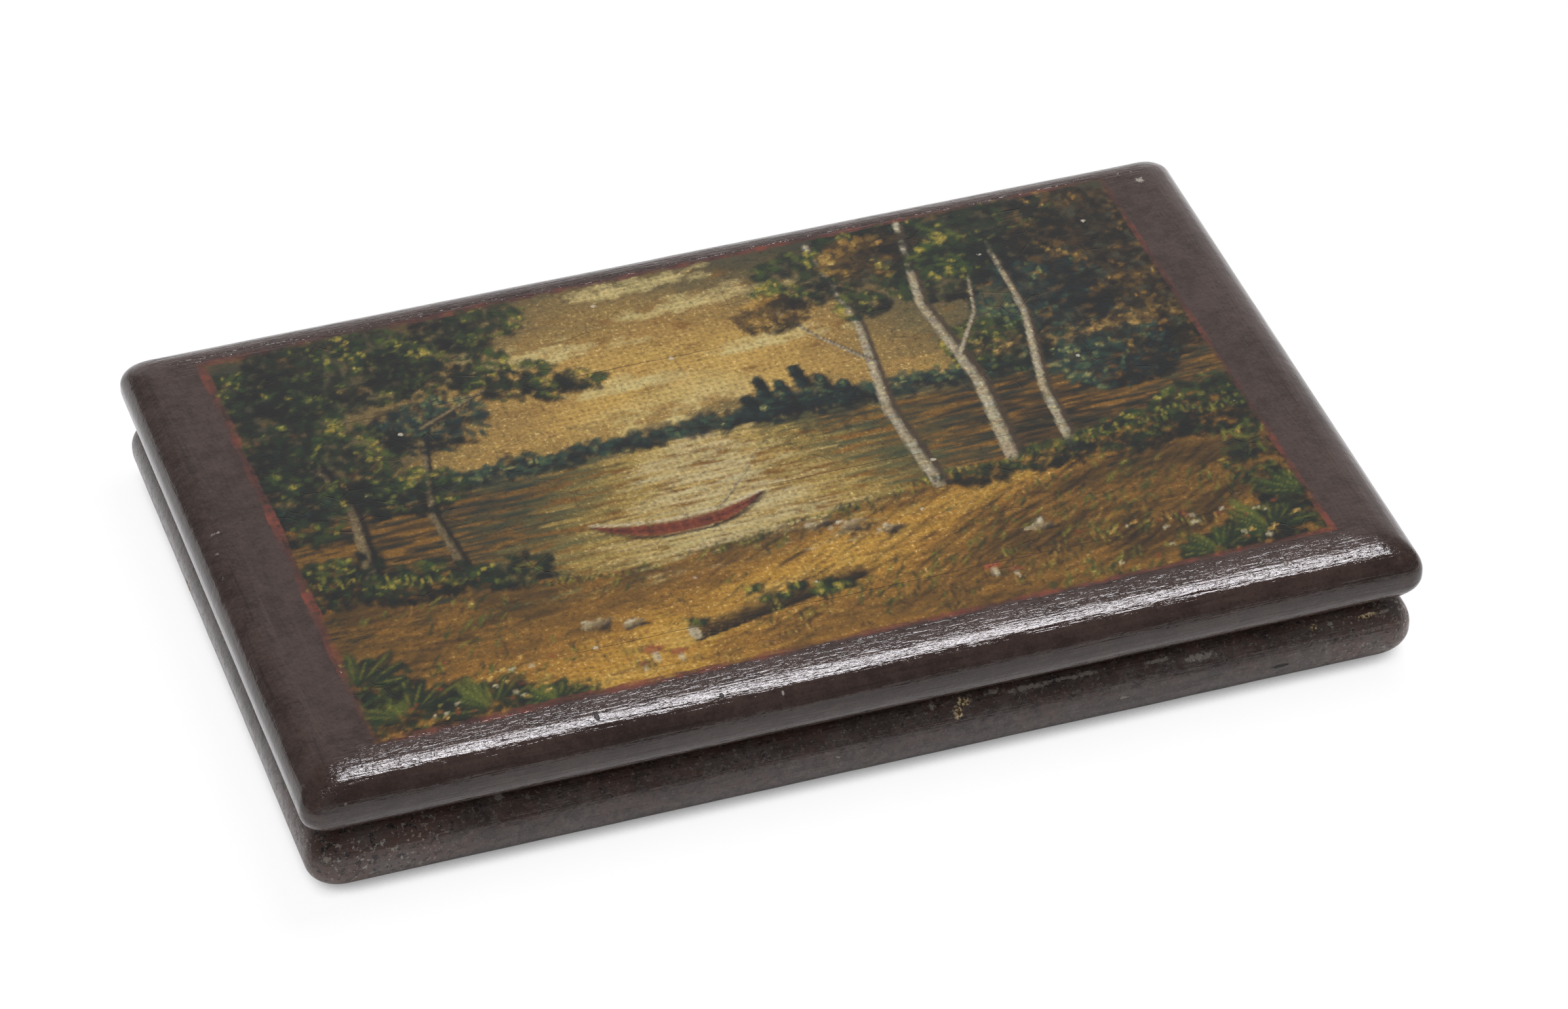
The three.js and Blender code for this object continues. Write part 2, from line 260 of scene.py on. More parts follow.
def lacquer_effect():
    group, given, out = effect("aged_lacquer", [(name, "Float") for name in ("Rubbed", "Ends", "Rim")])
    rubbed, ends, rim = given["Rubbed"], given["Ends"], given["Rim"]
    place = box_place(group)
    streak = along_rim(group, place, ends, 55, 1350)
    hair = along_rim(group, place, ends, 24, 4600)
    peel = along_rim(group, place, ends, 420, 2300)
    skin = speckle(group, place, 760, 3.0, 0.6)
    colour = coat_colour(group, place, streak, rim)
    # Rubbed places with pits and grit in them; on the base by the groove this lighter colour is partly painted
    # light
    patch = speckle(group, place, 430, 8.0, 0.75)
    rub = spread(rubbed + (patch * 2.2 - 1.1), 0.3, 0.95)
    tone = spread(speckle(group, place, 210, 4.0, 0.65), 0.4, 0.62)
    colour = blend(group, rub * 0.65, colour, blend(group, tone, WORN_WARM, WORN_GREY))
    pit = spread(speckle(group, place, 900, 5.0, 0.75), 0.48, 0.36)
    pit = calc(group, "MULTIPLY", pit, rubbed, clamp=True)
    colour = blend(group, pit, colour, PIT)
    grit = spread(speckle(group, place, 1700, 4.0, 0.7), 0.565, 0.635) * spread(rubbed, 0.4, 1.1)
    colour = blend(group, grit, colour, GRIT)
    # Specks of dust in the varnish
    away, own = cells(group, place, 360.0)
    dot = spread(away, 0.09, 0.04) * (own > 0.94)
    colour = blend(group, dot * 0.55, colour, DUST)
    roughness = larger(rub, rubbed) * 0.2 + (streak * 0.09 + 0.055)
    # Height of brush marks, skin, peel, pits and specks, calmer at the ends
    uneven_rim = rim * (ends * -0.6 + 1.0)
    marks = (hair * 0.4 + streak * 1.9 - 1.15) * (uneven_rim * 0.9 + 0.1)
    wrinkle = (skin - 0.5) * (uneven_rim * 1.3 + 0.6)
    upper = spread(split(group, place)[2], 17.5 * MM, 18.1 * MM, 0.25, 1.0)
    peeled = (peel - 0.5) * (uneven_rim * 1.8 + 0.25) * upper
    give(group, out, colour, roughness, marks + wrinkle + peeled + dot - pit + grit * 0.5)
    return group


aged_lacquer = lacquer_effect()
print("lacquer group:", len(aged_lacquer.nodes), "nodes")

# %% [markdown]
# ## The two round-rimmed halves
# Each half was a plain board with its rim worked round by plane and scraper, then hollowed. A bevelled cube
# would give a rim of one fixed radius; here the rim is a quarter ellipse above and below, and its corners are
# eased as if by sandpaper. So each half is skinned over rings, from the middle of one face, round the rim,
# into the hollow. The hand work shows as a slight waviness, which always goes inwards so that the CAD size
# holds.

# %% Outlines and rings
RIM_ROUND = 4.2 * MM
RIM_BAND = 0.6 * MM
FACE_CORNER = 3.4 * MM
SHOULDER = 0.3 * MM
UPPER_RINGS, LOWER_RINGS = 23, 15


def outline(half_x, half_y, corner, along_x=140, along_y=90, turn=12):
    """Points round a rectangle with rounded corners, counter-clockwise, equal in number for any size."""
    points = []
    sides = ((1, -1, along_y), (1, 1, along_x), (-1, 1, along_y), (-1, -1, along_x))
    arcs = []
    for k, (sx, sy, _) in enumerate(sides):
        angle = np.radians(-90 + 90 * k + np.linspace(0, 90, turn + 1))
        middle = np.array([sx * (half_x - corner), sy * (half_y - corner)])
        arcs.append(middle + corner * np.stack([np.cos(angle), np.sin(angle)], 1))
    for k, (_, _, steps) in enumerate(sides):
        share = np.linspace(0, 1, steps + 1)[1:-1, None]
        points += [arcs[k], arcs[k][-1] * (1 - share) + arcs[(k + 1) % 4][0] * share]
    return np.concatenate(points)


def quarter(count, width):
    """Insets from a flat face out to the edge of a round rim, closer together near the edge."""
    return width * (1 - np.sin(np.radians(np.linspace(0, 90, count))))


def drop(inset, width, rise):
    """How far a round rim lies below its flat face, this far in from the edge."""
    return rise * (1 - math.sqrt(1 - (1 - inset / width) ** 2))


def rim_rings(low, high, corner, lift):
    """The rim of one half from its upper flat face round to its lower one, as (inset, z, corner radius)."""
    top = high.z - lift
    rise = (top - low.z - RIM_BAND) / 2
    wide = RIM_ROUND + SHOULDER
    rows = [(inset, top - drop(inset, wide, rise)) for inset in quarter(UPPER_RINGS, wide)]
    rows += [(inset, low.z + drop(inset, RIM_ROUND, rise)) for inset in quarter(LOWER_RINGS, RIM_ROUND)[::-1]]
    return [(inset, z, corner + (FACE_CORNER - corner) * inset / RIM_ROUND) for inset, z in rows]


def mesh_piece(name, points, faces):
    """An object from points and faces."""
    mesh = bpy.data.meshes.new(name)
    mesh.from_pydata([tuple(p) for p in points], [], faces)
    piece = bpy.data.objects.new(name, mesh)
    bpy.context.scene.collection.objects.link(piece)
    return piece


def strips(count, rows):
    """Four-sided faces between rings that follow each other and have this many points each."""
    after = [(i + 1) % count for i in range(count)]
    return [[r * count + i, (r + 1) * count + i, (r + 1) * count + j, r * count + j]
            for r in range(rows - 1) for i, j in enumerate(after)]


def skin(name, rings):
    """A closed mesh over rings of equal numbers of points, with a flat face at both ends."""
    count = len(rings[0])
    points = np.concatenate(rings)
    first = list(range(count))
    last = list(range(len(points) - 1, len(points) - 1 - count, -1))
    piece = mesh_piece(name, points, [first, *strips(count, len(rings)), last])
    piece.data.validate()
    return piece


def at_height(points, z):
    """Flat points lifted to one height."""
    return np.column_stack([points, np.full(len(points), z)])


print("an outline has", len(outline(1, 1, 0.1)), "points")

# %% Unevenness of hand work
def lattice(i, j, seed):
    """A fixed pseudo-random number from 0 to 1 for each place of a lattice."""
    value = np.sin(i * 127.1 + j * 311.7 + seed * 74.7) * 43758.5453
    return value - np.floor(value)


def ripple(x, y, seed):
    """Smooth unevenness from 0 to 1 with a wave of about one unit."""
    i, j = np.floor(x), np.floor(y)
    u, v = x - i, y - j
    u, v = u * u * (3 - 2 * u), v * v * (3 - 2 * v)
    near = lattice(i, j, seed) * (1 - u) + lattice(i + 1, j, seed) * u
    far = lattice(i, j + 1, seed) * (1 - u) + lattice(i + 1, j + 1, seed) * u
    return near * (1 - v) + far * v


def drift(x, y, seed, layers=4):
    """Ripples of several sizes on top of each other, from 0 to 1."""
    sizes = 2.0 ** np.arange(layers)
    return sum(ripple(x * s, y * s, seed + s) / s for s in sizes) / (1 / sizes).sum()


def uneven(rings, seed, depth):
    """Pushes the points of a rim inwards by up to this depth, in long waves along it."""
    shaped = np.array(rings)
    rows, count = shaped.shape[:2]
    along = np.linspace(0, 1, count, endpoint=False)[None, :] * np.ones((rows, 1))
    across = np.arange(rows)[:, None] * np.ones((1, count))
    forth = np.roll(shaped, -1, 1) - np.roll(shaped, 1, 1)
    down = np.gradient(shaped, axis=0)
    outward = np.cross(down, forth)
    outward /= np.linalg.norm(outward, axis=2, keepdims=True) + 1e-12
    wave = 0.7 * drift(along * 60, across / 9, seed) + 0.3 * drift(along * 230, across / 4, seed + 5)
    fade = np.sin(np.linspace(0, np.pi, rows))[:, None] ** 0.5
    return list(shaped - outward * (wave * fade * depth)[..., None])


print("ripples from", round(float(ripple(np.arange(99) * 0.3, np.zeros(99), 1).min()), 2), "up")

# %% Lid and base as skins
lid_low, lid_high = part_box("lid_shell")
base_low, base_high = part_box("base_shell")
liner_low, liner_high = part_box("liner_front")
lining_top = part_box("lid_lining")[1].z
floor_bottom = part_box("base_lining")[0].z
LID_CORNER, BASE_CORNER = 2.6 * MM, 3.6 * MM
LID_WAVES, BASE_WAVES = 0.09 * MM, 0.16 * MM
LID_SEED, BASE_SEED = 3, 11
UNDERSIDE_INSET, UNDERSIDE_CORNER = 14 * MM, 1 * MM
LIP_CLEARANCE = 0.35 * MM
GLUE_GAP = 0.15 * MM
HOLLOW_CORNER, FILM_CORNER = 0.4 * MM, 0.01 * MM
PICTURE_LEFT, PICTURE_RIGHT = -64.2, 64.5
PICTURE_FRONT, PICTURE_BACK = -39.6, 42.2
FILM_MARGIN, FILM_BACK_MARGIN = 1.3, 0.75
FILM_ROOM, FILM_THICK, FILM_BED = 0.06 * MM, 0.12 * MM, 0.15 * MM
film_left, film_right = PICTURE_LEFT - FILM_MARGIN, PICTURE_RIGHT + FILM_MARGIN
film_front, film_back = PICTURE_FRONT - FILM_MARGIN, PICTURE_BACK + FILM_BACK_MARGIN


def film_outline():
    """The rectangle of the painted film, with as many points as any other outline."""
    half_x, half_y = (film_right - film_left) / 2, (film_back - film_front) / 2
    middle = np.array([film_left + half_x, film_front + half_y])
    return outline(half_x * MM, half_y * MM, FILM_CORNER) + middle * MM


def half_outline(high, inset, corner):
    return outline(high.x - inset, high.y - inset, corner)


def rim(low, high, corner, lift, seed, depth):
    """The uneven rim of one half."""
    rows = rim_rings(low, high, corner, lift)
    return uneven([at_height(half_outline(high, inset, eased), z) for inset, z, eased in rows], seed, depth)


def hollow(past_x, past_y, *heights):
    """The upright walls of a hollow that clears the cedar boards by these amounts."""
    walls = outline(liner_high.x + past_x, -liner_low.y + past_y, HOLLOW_CORNER)
    return [at_height(walls, z) for z in heights]


def lid_board():
    inside = hollow(LIP_CLEARANCE + GLUE_GAP / 2, LIP_CLEARANCE, lid_low.z, lining_top + GLUE_GAP)
    face = lid_high.z - FILM_ROOM
    bed = [at_height(film_outline(), face - FILM_BED), at_height(film_outline(), face)]
    edge = rim(lid_low, lid_high, LID_CORNER, FILM_ROOM, LID_SEED, LID_WAVES)
    return skin("lid_board", bed + edge + inside)


def base_board():
    inside = hollow(GLUE_GAP * 1.5, GLUE_GAP, floor_bottom - GLUE_GAP, base_high.z)
    edge = rim(base_low, base_high, BASE_CORNER, 0, BASE_SEED, BASE_WAVES)
    underside = at_height(half_outline(base_high, UNDERSIDE_INSET, UNDERSIDE_CORNER), base_low.z)
    return skin("base_board", inside + edge + [underside])


lid = lid_board()
base = base_board()
print("lid", len(lid.data.polygons), "faces, base", len(base.data.polygons), "faces")

# %% [markdown]
# ## Cuts for the hinges
# The leaves of the hinges lie in shallow mortises in the rims, and the knuckles in a trough between the
# halves. A Boolean modifier cuts both, as a chisel and a round plane would.

# %% Cutting the mortises and the trough
hinge_boxes = {side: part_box(f"hinge_{side}_base_leaf") for side in ("left", "right")}
leaf_low, leaf_high = hinge_boxes["left"]
KNUCKLE_RADIUS = 1.4 * MM
LEAF_THICK = 0.9 * MM
TROUGH_RADIUS, TROUGH_SIDES = 1.7 * MM, 40
MORTISE_END, MORTISE_BACK, MORTISE_DEEPER = 0.28 * MM, 0.15 * MM, 0.1 * MM
SEAM_GAP = lid_low.z - base_high.z
hinge_y = leaf_high.y - KNUCKLE_RADIUS
hinge_z = (lid_low.z + base_high.z) / 2
hinge_middles = [(low.x + high.x) / 2 for low, high in hinge_boxes.values()]
hinge_length = leaf_high.x - leaf_low.x
leaf_depth = hinge_y - leaf_low.y


def hinge_tool(name, section):
    """A tool that sweeps a section in Y and Z along each hinge."""
    points, faces = [], []
    count = len(section)
    half = hinge_length / 2 + MORTISE_END
    for middle in hinge_middles:
        start = len(points)
        points += [(middle + s * half, hinge_y + y, hinge_z + z) for s in (-1, 1) for y, z in section]
        faces.append([start + i for i in range(count - 1, -1, -1)])
        faces.append([start + count + i for i in range(count)])
        for i in range(count):
            j = (i + 1) % count
            faces.append([start + i, start + j, start + count + j, start + count + i])
    return mesh_piece(name, points, faces)


def close_gaps(mesh):
    """Splits the many-sided faces that a cut leaves into triangles, and fills any small gap between them."""
    work = bmesh.new()
    work.from_mesh(mesh)
    bmesh.ops.triangulate(work, faces=[face for face in work.faces if len(face.verts) > 4])
    gaps = [edge for edge in work.edges if edge.is_boundary]
    bmesh.ops.holes_fill(work, edges=gaps, sides=4)
    work.to_mesh(mesh)
    work.free()
    return len(gaps)


def settle(piece):
    """Turns what a piece's modifiers make of it into its own plain mesh."""
    done = bpy.data.meshes.new_from_object(piece.evaluated_get(bpy.context.evaluated_depsgraph_get()))
    piece.modifiers.clear()
    piece.data = done


def cut_with(piece, *tools):
    """Cuts the tools out of a piece, and takes the tools away."""
    for tool in tools:
        cut = piece.modifiers.new("cut", "BOOLEAN")
        cut.operation, cut.solver, cut.object = "DIFFERENCE", "EXACT", tool
    settle(piece)
    print(piece.name, "had", close_gaps(piece.data), "open edges after the cut")
    for tool in tools:
        bpy.data.objects.remove(tool)


turns = np.linspace(0, 2 * np.pi, TROUGH_SIDES, endpoint=False)
trough = [(TROUGH_RADIUS * math.cos(turn), TROUGH_RADIUS * math.sin(turn)) for turn in turns]
for board, side in ((lid, 1), (base, -1)):
    low, high = sorted((0.0, side * (SEAM_GAP / 2 + LEAF_THICK + MORTISE_DEEPER)))
    inner = -leaf_depth - MORTISE_BACK
    mortise = [(inner, low), (0.0, low), (0.0, high), (inner, high)]
    cut_with(board, hinge_tool("mortise", mortise), hinge_tool("trough", trough))
print("after cutting: lid", len(lid.data.vertices), "points, base", len(base.data.vertices), "points")

# %% [markdown]
# ## Wear
# Age shows where hands and tables touched the box: along the crown of each rim, at the corners, and worst at
# the base's front left corner. The amount is worked out for every point of the mesh and kept as layers, which
# the lacquer's node group reads. The base has lost most of its gloss, above all in the groove under the lid,
# where it is also painted lighter: partly dust, partly painted light that lifts the shade under the lid.

# %% Layers of wear on both halves
def coordinates(piece):
    flat = np.empty(len(piece.data.vertices) * 3)
    piece.data.vertices.foreach_get("co", flat)
    return flat.reshape(-1, 3)


def keep_layer(piece, name, values):
    """Stores one number for each point of a mesh."""
    layer = piece.data.attributes.new(name, "FLOAT", "POINT")
    layer.data.foreach_set("value", np.asarray(values, np.float32))


def ramp_up(value, low, high):
    share = np.clip((value - low) / (high - low), 0, 1)
    return share * share * (3 - 2 * share)


def wear_layers(piece, high, all_over, worn_places):
    """Keeps how rubbed each point is, whether it lies at an end of the box, and whether on the rim."""
    spots = coordinates(piece) / MM
    x, y, _ = spots.T
    from_end = high.x / MM - np.abs(x)
    from_side = high.y / MM - np.abs(y)
    edge = np.minimum(from_end, from_side)
    crown = 1 - ramp_up(edge, 0.3, 3.0)
    corner = 1 - ramp_up(np.hypot(from_end, from_side), 2, 9)
    rubbed = all_over + 0.1 * crown + 0.2 * corner
    for middle, reach, amount in worn_places:
        away = np.linalg.norm(spots - np.array(middle), axis=1)
        rubbed += amount * (1 - ramp_up(away, reach * 0.3, reach))
    front_edge = high.y / MM + y
    keep_layer(piece, "rubbed", rubbed)
    keep_layer(piece, "ends", ramp_up(from_side - from_end, -1, 2) * (1 - ramp_up(edge, 9, 13)))
    keep_layer(piece, "rim", 1 - np.minimum(ramp_up(edge, 4, 8), ramp_up(front_edge, 5.5, 10)))
    return rubbed


# Towards the top of the base, by the groove, the rubbed layer grows: dust, and painted light against the shade
# under the lid.
dust_and_painted_light = 0.45 + 0.2 * ramp_up(coordinates(base)[:, 2] / MM, 6.5, 8.5)
base_wear = wear_layers(base, base_high, dust_and_painted_light, [((-73, -45, 5), 22, 0.6), ((70, -45, 6), 16, 0.2)])
lid_wear = wear_layers(lid, lid_high, 0.0, [((-73, -45, 13), 6, 0.2)])
print("most worn: base", round(float(base_wear.max()), 2), "lid", round(float(lid_wear.max()), 2))

# %% [markdown]
# ## Chips, scuffs and nicks
# Some damage has its own place: a chip down to the yellow wood at the middle of the base's front, pale
# scuffs along the groove beside it, a nick in the lid's front edge, scratches on its left border. A layer on
# the mesh would be too coarse for marks of half a millimetre, so a small node group measures the distance to
# each mark's middle, and noise frays its outline.

# %% The marks, as (middle, reach) in mm
BARE_WOOD = [
    ((12.2, -45.3, 8.3), (1.0, 1.5, 0.45)),
    ((11.2, -46.1, 7.5), (0.6, 1.5, 0.85)),
    ((60.1, -45.6, 8.1), (0.5, 1.5, 0.35)),
    ((67.6, -45.6, 8.1), (1.6, 1.5, 0.22)),
    ((40.0, 46.6, 4.0), (1.4, 1.5, 0.7)),
    ((-74.2, 14.0, 4.0), (1.5, 1.5, 0.6)),
    ((74.2, -8.0, 5.2), (1.5, 1.2, 0.6)),
    ((22.0, 47.4, 13.2), (1.4, 1.5, 0.6)),
]
PALE_SCUFFS = [
    ((16.2, -44.9, 8.6), (1.0, 1.2, 0.2)),
    ((21.0, -45.3, 8.35), (3.2, 1.2, 0.26)),
    ((27.5, -45.2, 8.4), (3.0, 1.2, 0.2)),
    ((8.0, -45.1, 8.5), (0.5, 1.2, 0.3)),
    ((38.7, -45.5, 8.2), (2.2, 1.2, 0.18)),
    ((44.2, -45.9, 7.7), (2.4, 1.2, 0.5)),
    ((62.5, -45.6, 8.1), (0.5, 1.2, 0.2)),
    ((70.2, -45.5, 8.1), (0.8, 1.2, 0.2)),
    ((33.5, -46.9, 4.6), (0.8, 1.2, 0.35)),
    ((-5.2, -46.9, 5.2), (0.5, 1.2, 0.35)),
    ((-49.3, -44.6, 8.8), (0.7, 1.2, 0.25)),
    ((-72.4, -46.5, 6.4), (0.8, 1.2, 0.7)),
    ((-12.3, -46.1, 17.3), (0.2, 0.5, 0.6)),
    ((56.5, -43.4, 18.3), (0.3, 0.5, 0.6)),
    ((-71.9, 6.4, 18.3), (0.9, 0.25, 0.6)),
    ((-73.0, 2.6, 18.3), (0.6, 0.3, 0.6)),
    ((-73.4, -2.0, 18.2), (0.6, 0.3, 0.6)),
    ((68.8, 40.7, 18.2), (0.7, 0.7, 0.6)),
]
DARK_NICKS = [
    ((-36.1, -43.9, 18.2), (0.3, 0.75, 0.6)),
    ((-48.2, -44.4, 18.0), (0.5, 0.12, 0.4)),
    ((55.2, -46.9, 4.1), (1.2, 1.2, 0.3)),
    ((-20.0, -44.8, 17.8), (0.25, 0.4, 0.5)),
]


def worn_spot_effect():
    inputs = [("Place", "Vector"), ("Fray", "Float"), ("Middle", "Vector"), ("Reach", "Vector")]
    group, given, out = effect("worn_spot", inputs, [("Mask", "Float")])
    off = given["Place"]
    for operation, other in (("SUBTRACT", "Middle"), ("DIVIDE", "Reach")):
        off = put(group, "ShaderNodeVectorMath", {0: off, 1: given[other]}, operation=operation).outputs[0]
    length = put(group, "ShaderNodeVectorMath", {0: off}, operation="LENGTH").outputs["Value"]
    wire(group, out["Mask"], spread(Number(group, length) + given["Fray"], 1.15, 0.75))
    return group


worn_spot = worn_spot_effect()


def all_marks(tree, place, fray, marks):
    """One mask for a list of marks."""
    together = None
    for middle, reach in marks:
        sizes = {"Middle": [v * MM for v in middle], "Reach": [v * MM for v in reach]}
        mask = use(tree, worn_spot, {"Place": place, "Fray": fray, **sizes})["Mask"]
        together = mask if together is None else larger(together, mask)
    return together


print(len(BARE_WOOD), "chips,", len(PALE_SCUFFS), "scuffs,", len(DARK_NICKS), "nicks")

# %% The lacquer material
WOOD_DARK, WOOD_LIGHT = (0.10, 0.05, 0.015, 1), (0.86, 0.70, 0.42, 1)
SCUFF, NICK = (0.40, 0.36, 0.31, 1), (0.006, 0.004, 0.004, 1)
LACQUER_RELIEF = 0.05 * MM


def lacquer_coat(tree):
    """The lacquer group, fed with the layers of the piece that it lies on."""
    layers = {label.title(): layer_value(tree, label) for label in ("rubbed", "ends", "rim")}
    return use(tree, aged_lacquer, layers)


def lacquer_finish():
    material, tree, shader = finish("aged_lacquer", IOR=1.5)
    coat = lacquer_coat(tree)
    place = box_place(tree)
    fray = speckle(tree, place, 1500, 6.0, 0.8) * 4.4 - 2.1
    chip = all_marks(tree, place, fray * 0.55, BARE_WOOD)
    scuff = all_marks(tree, place, fray, PALE_SCUFFS)
    nick = all_marks(tree, place, fray * 0.4, DARK_NICKS)
    fibre = spread(speckle(tree, place, 2600, 3.0, 0.6), 0.42, 0.6)
    colour = blend(tree, scuff * 0.7, coat["Colour"], SCUFF)
    colour = blend(tree, chip, colour, blend(tree, fibre, WOOD_DARK, WOOD_LIGHT))
    colour = blend(tree, nick, colour, NICK)
    hurt = larger(larger(chip, scuff), nick)
    worn = {"Roughness": hurt * 0.45 + coat["Roughness"], "Height": hurt * -1.2 + coat["Height"]}
    coat_shader(tree, shader, {"Colour": colour, **worn}, LACQUER_RELIEF)
    return material


def smooth(piece, degrees):
    """Smooth shading that keeps corners sharper than this."""
    piece.data.polygons.foreach_set("use_smooth", [True] * len(piece.data.polygons))
    piece.data.set_sharp_from_angle(angle=math.radians(degrees))


def dress(piece, material):
    piece.data.materials.clear()
    piece.data.materials.append(material)


lacquer = lacquer_finish()
for board, body in ((lid, "lid"), (base, "base")):
    smooth(board, 35)
    dress(board, lacquer)
    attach(board, body)
    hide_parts(f"{body}_shell")
print("lacquer on", lid.name, "and", base.name)

# %% [markdown]
# ## The painted lid
# The picture on such a lid is oil paint on the lacquer, built up from thin warm ground to thick light
# touches, then varnished. It could be an image texture, but then the strokes would be flat and fixed. Here it
# is painted the way a painter would: a canvas of numbers takes thousands of small brush strokes, back to
# front, and its colours and its relief then go onto the points of a fine film over the lid. The scene is a
# quiet one of the script's own: birches and dark woods by a lake in the evening, with a moored boat and a
# sandy bank.

# %% Brush, palette and canvas, in mm from the canvas's front left corner
WIDE, TALL = 128.2, 80.7
TOUCHES = 6.0
hand = np.random.default_rng(7)
canvas_y, canvas_x = np.mgrid[0 : int(TALL * TOUCHES), 0 : int(WIDE * TOUCHES)] / TOUCHES
paint = np.zeros((*canvas_x.shape, 3))
relief = np.zeros(canvas_x.shape)


def tint(red, green, blue):
    """A paint by its look on a screen, 0 to 255, as light values."""
    look = np.array([red, green, blue]) / 255
    return np.where(look <= 0.04045, look / 12.92, ((look + 0.055) / 1.055) ** 2.4)


def palette(*looks):
    return np.array([tint(*look) for look in looks])


def pick(paints, share):
    """A paint between the first and the last of a palette."""
    place = float(np.clip(share, 0, 1)) * (len(paints) - 1)
    first = min(int(place), len(paints) - 2)
    return paints[first] + (paints[first + 1] - paints[first]) * (place - first)


def vary(colour, amount=0.1):
    """A paint mixed a little differently each time."""
    return np.clip(colour * (1 + hand.normal(0, amount)) * (1 + hand.normal(0, amount / 3, 3)), 0, 1)


def stroke(x, y, long, wide, angle, colour, cover=0.85, lift=0.5):
    """One touch of the brush, with bristle marks along it."""
    reach = max(long, wide) * 1.05
    left, right = (int(max(v * TOUCHES, 0)) for v in (x - reach, x + reach + 2 / TOUCHES))
    near, far = (int(max(v * TOUCHES, 0)) for v in (y - reach, y + reach + 2 / TOUCHES))
    spot = (slice(near, far), slice(left, right))
    dx, dy = canvas_x[spot] - x, canvas_y[spot] - y
    along = (dx * math.cos(angle) + dy * math.sin(angle)) / long
    across = (dy * math.cos(angle) - dx * math.sin(angle)) / wide
    bristles = 0.82 + 0.18 * np.sin(across * 9 + x * 5 + y * 3)
    mask = np.clip((1 - along * along - across * across) * 2.4, 0, 1) * bristles * cover
    paint[spot] += (colour - paint[spot]) * mask[..., None]
    relief[spot] += (lift * bristles - relief[spot]) * mask


def dab(x, y, long, wide, angle, colour, mix, cover, lift):
    """A touch whose length and width lie in these ranges, and whose angle scatters about its mean."""
    size = hand.uniform(*long), hand.uniform(*wide)
    stroke(x, y, *size, hand.normal(*angle), vary(colour, mix), cover, lift)


GOLD_SKY = palette((250, 228, 150), (228, 186, 92), (176, 140, 70), (112, 98, 58), (58, 58, 42))
LEAVES = palette((4, 8, 7), (13, 24, 17), (26, 44, 24), (54, 72, 28), (118, 122, 40), (206, 182, 70))
COOL_LEAVES = palette((4, 8, 11), (10, 23, 24), (20, 44, 42), (42, 70, 54), (90, 108, 62), (164, 162, 92))
AUTUMN = palette((10, 7, 4), (28, 20, 10), (60, 44, 20), (104, 78, 30), (160, 120, 46), (214, 174, 84))
EARTH = palette((26, 19, 9), (84, 60, 22), (162, 114, 38), (212, 160, 56), (244, 202, 98))
WATER = palette((10, 18, 18), (34, 48, 38), (92, 94, 54), (208, 176, 88), (254, 236, 172))
BARK = palette((24, 18, 12), (70, 56, 40), (156, 136, 94), (246, 230, 184), (255, 250, 222))
DARK_BARK = BARK[[0, 0, 1, 2, 2]]
HULL = palette((18, 10, 6), (78, 30, 18), (140, 62, 36), (190, 110, 66))
print("canvas", paint.shape, "palettes ready")

# %% Sky, hills and water
HORIZON = 45.0
GLOW_X, GLOW_Y = 56.0, 50.0
HILLS = ((6.0, 4.0, 5, 0.42, 0.6), (3.2, 3.0, 8, 0.62, 0.8), (1.2, 1.8, 9, 0.8, 1.0))


def paint_ground():
    shade = np.clip(0.25 + 0.5 * drift(canvas_x / 9, canvas_y / 9, 1), 0, 1)[..., None]
    paint[:] = EARTH[1] * (1 - shade) + EARTH[2] * shade


def paint_sky():
    for _ in range(2200):
        x, y = hand.uniform(0, WIDE), hand.uniform(HORIZON - 1, TALL)
        far = math.hypot((x - GLOW_X) / 52, (y - GLOW_Y) / 36)
        shade = far + 0.4 * (float(drift(x / 18, y / 7, 3)) - 0.5)
        dab(x, y, (2, 5), (0.7, 1.6), (0.12, 0.25), pick(GOLD_SKY, shade), 0.05, 0.6, 0.3)


def paint_clouds():
    for x, y, size in ((44, 66, 9), (66, 71, 8), (72, 60, 7), (52, 57, 6), (60, 77, 8)):
        for _ in range(60):
            px, py = x + hand.normal(0, size * 0.6), y + abs(hand.normal(0, size * 0.18))
            dab(px, py, (0.8, 2.2), (0.4, 0.9), (0.1, 0.3), GOLD_SKY[0], 0.05, 0.3, 0.5)


def paint_hills():
    for height, wave, seed, low, high in HILLS:
        for _ in range(800):
            x = hand.uniform(0, WIDE)
            top = HORIZON + height + wave * 2 * (float(drift(x / 22, seed, seed)) - 0.5)
            y = hand.uniform(HORIZON - 1, max(top, HORIZON - 0.5))
            size = hand.uniform(0.8, 2.2), hand.uniform(0.35, 0.8)
            angle, shade = hand.normal(0.1, 0.4), hand.uniform(low, high)
            stroke(x, y, *size, angle, vary(pick(GOLD_SKY, shade), 0.07), 0.8, 0.3)


def paint_water():
    for _ in range(3000):
        x, y = hand.uniform(0, WIDE), hand.uniform(18, HORIZON)
        glow = math.exp(-(((x - GLOW_X) / (10 + 0.8 * (HORIZON - y))) ** 2))
        woods = math.exp(-(((x - 8) / 20) ** 2)) + math.exp(-(((x - 108) / 22) ** 2))
        shade = 0.36 + 0.58 * glow - 0.36 * woods + hand.normal(0, 0.09)
        dab(x, y, (1.2, 4.5), (0.16, 0.42), (0, 0.03), pick(WATER, shade), 0.06, 0.7, 0.35)


print("far parts planned, horizon at", HORIZON, "mm")

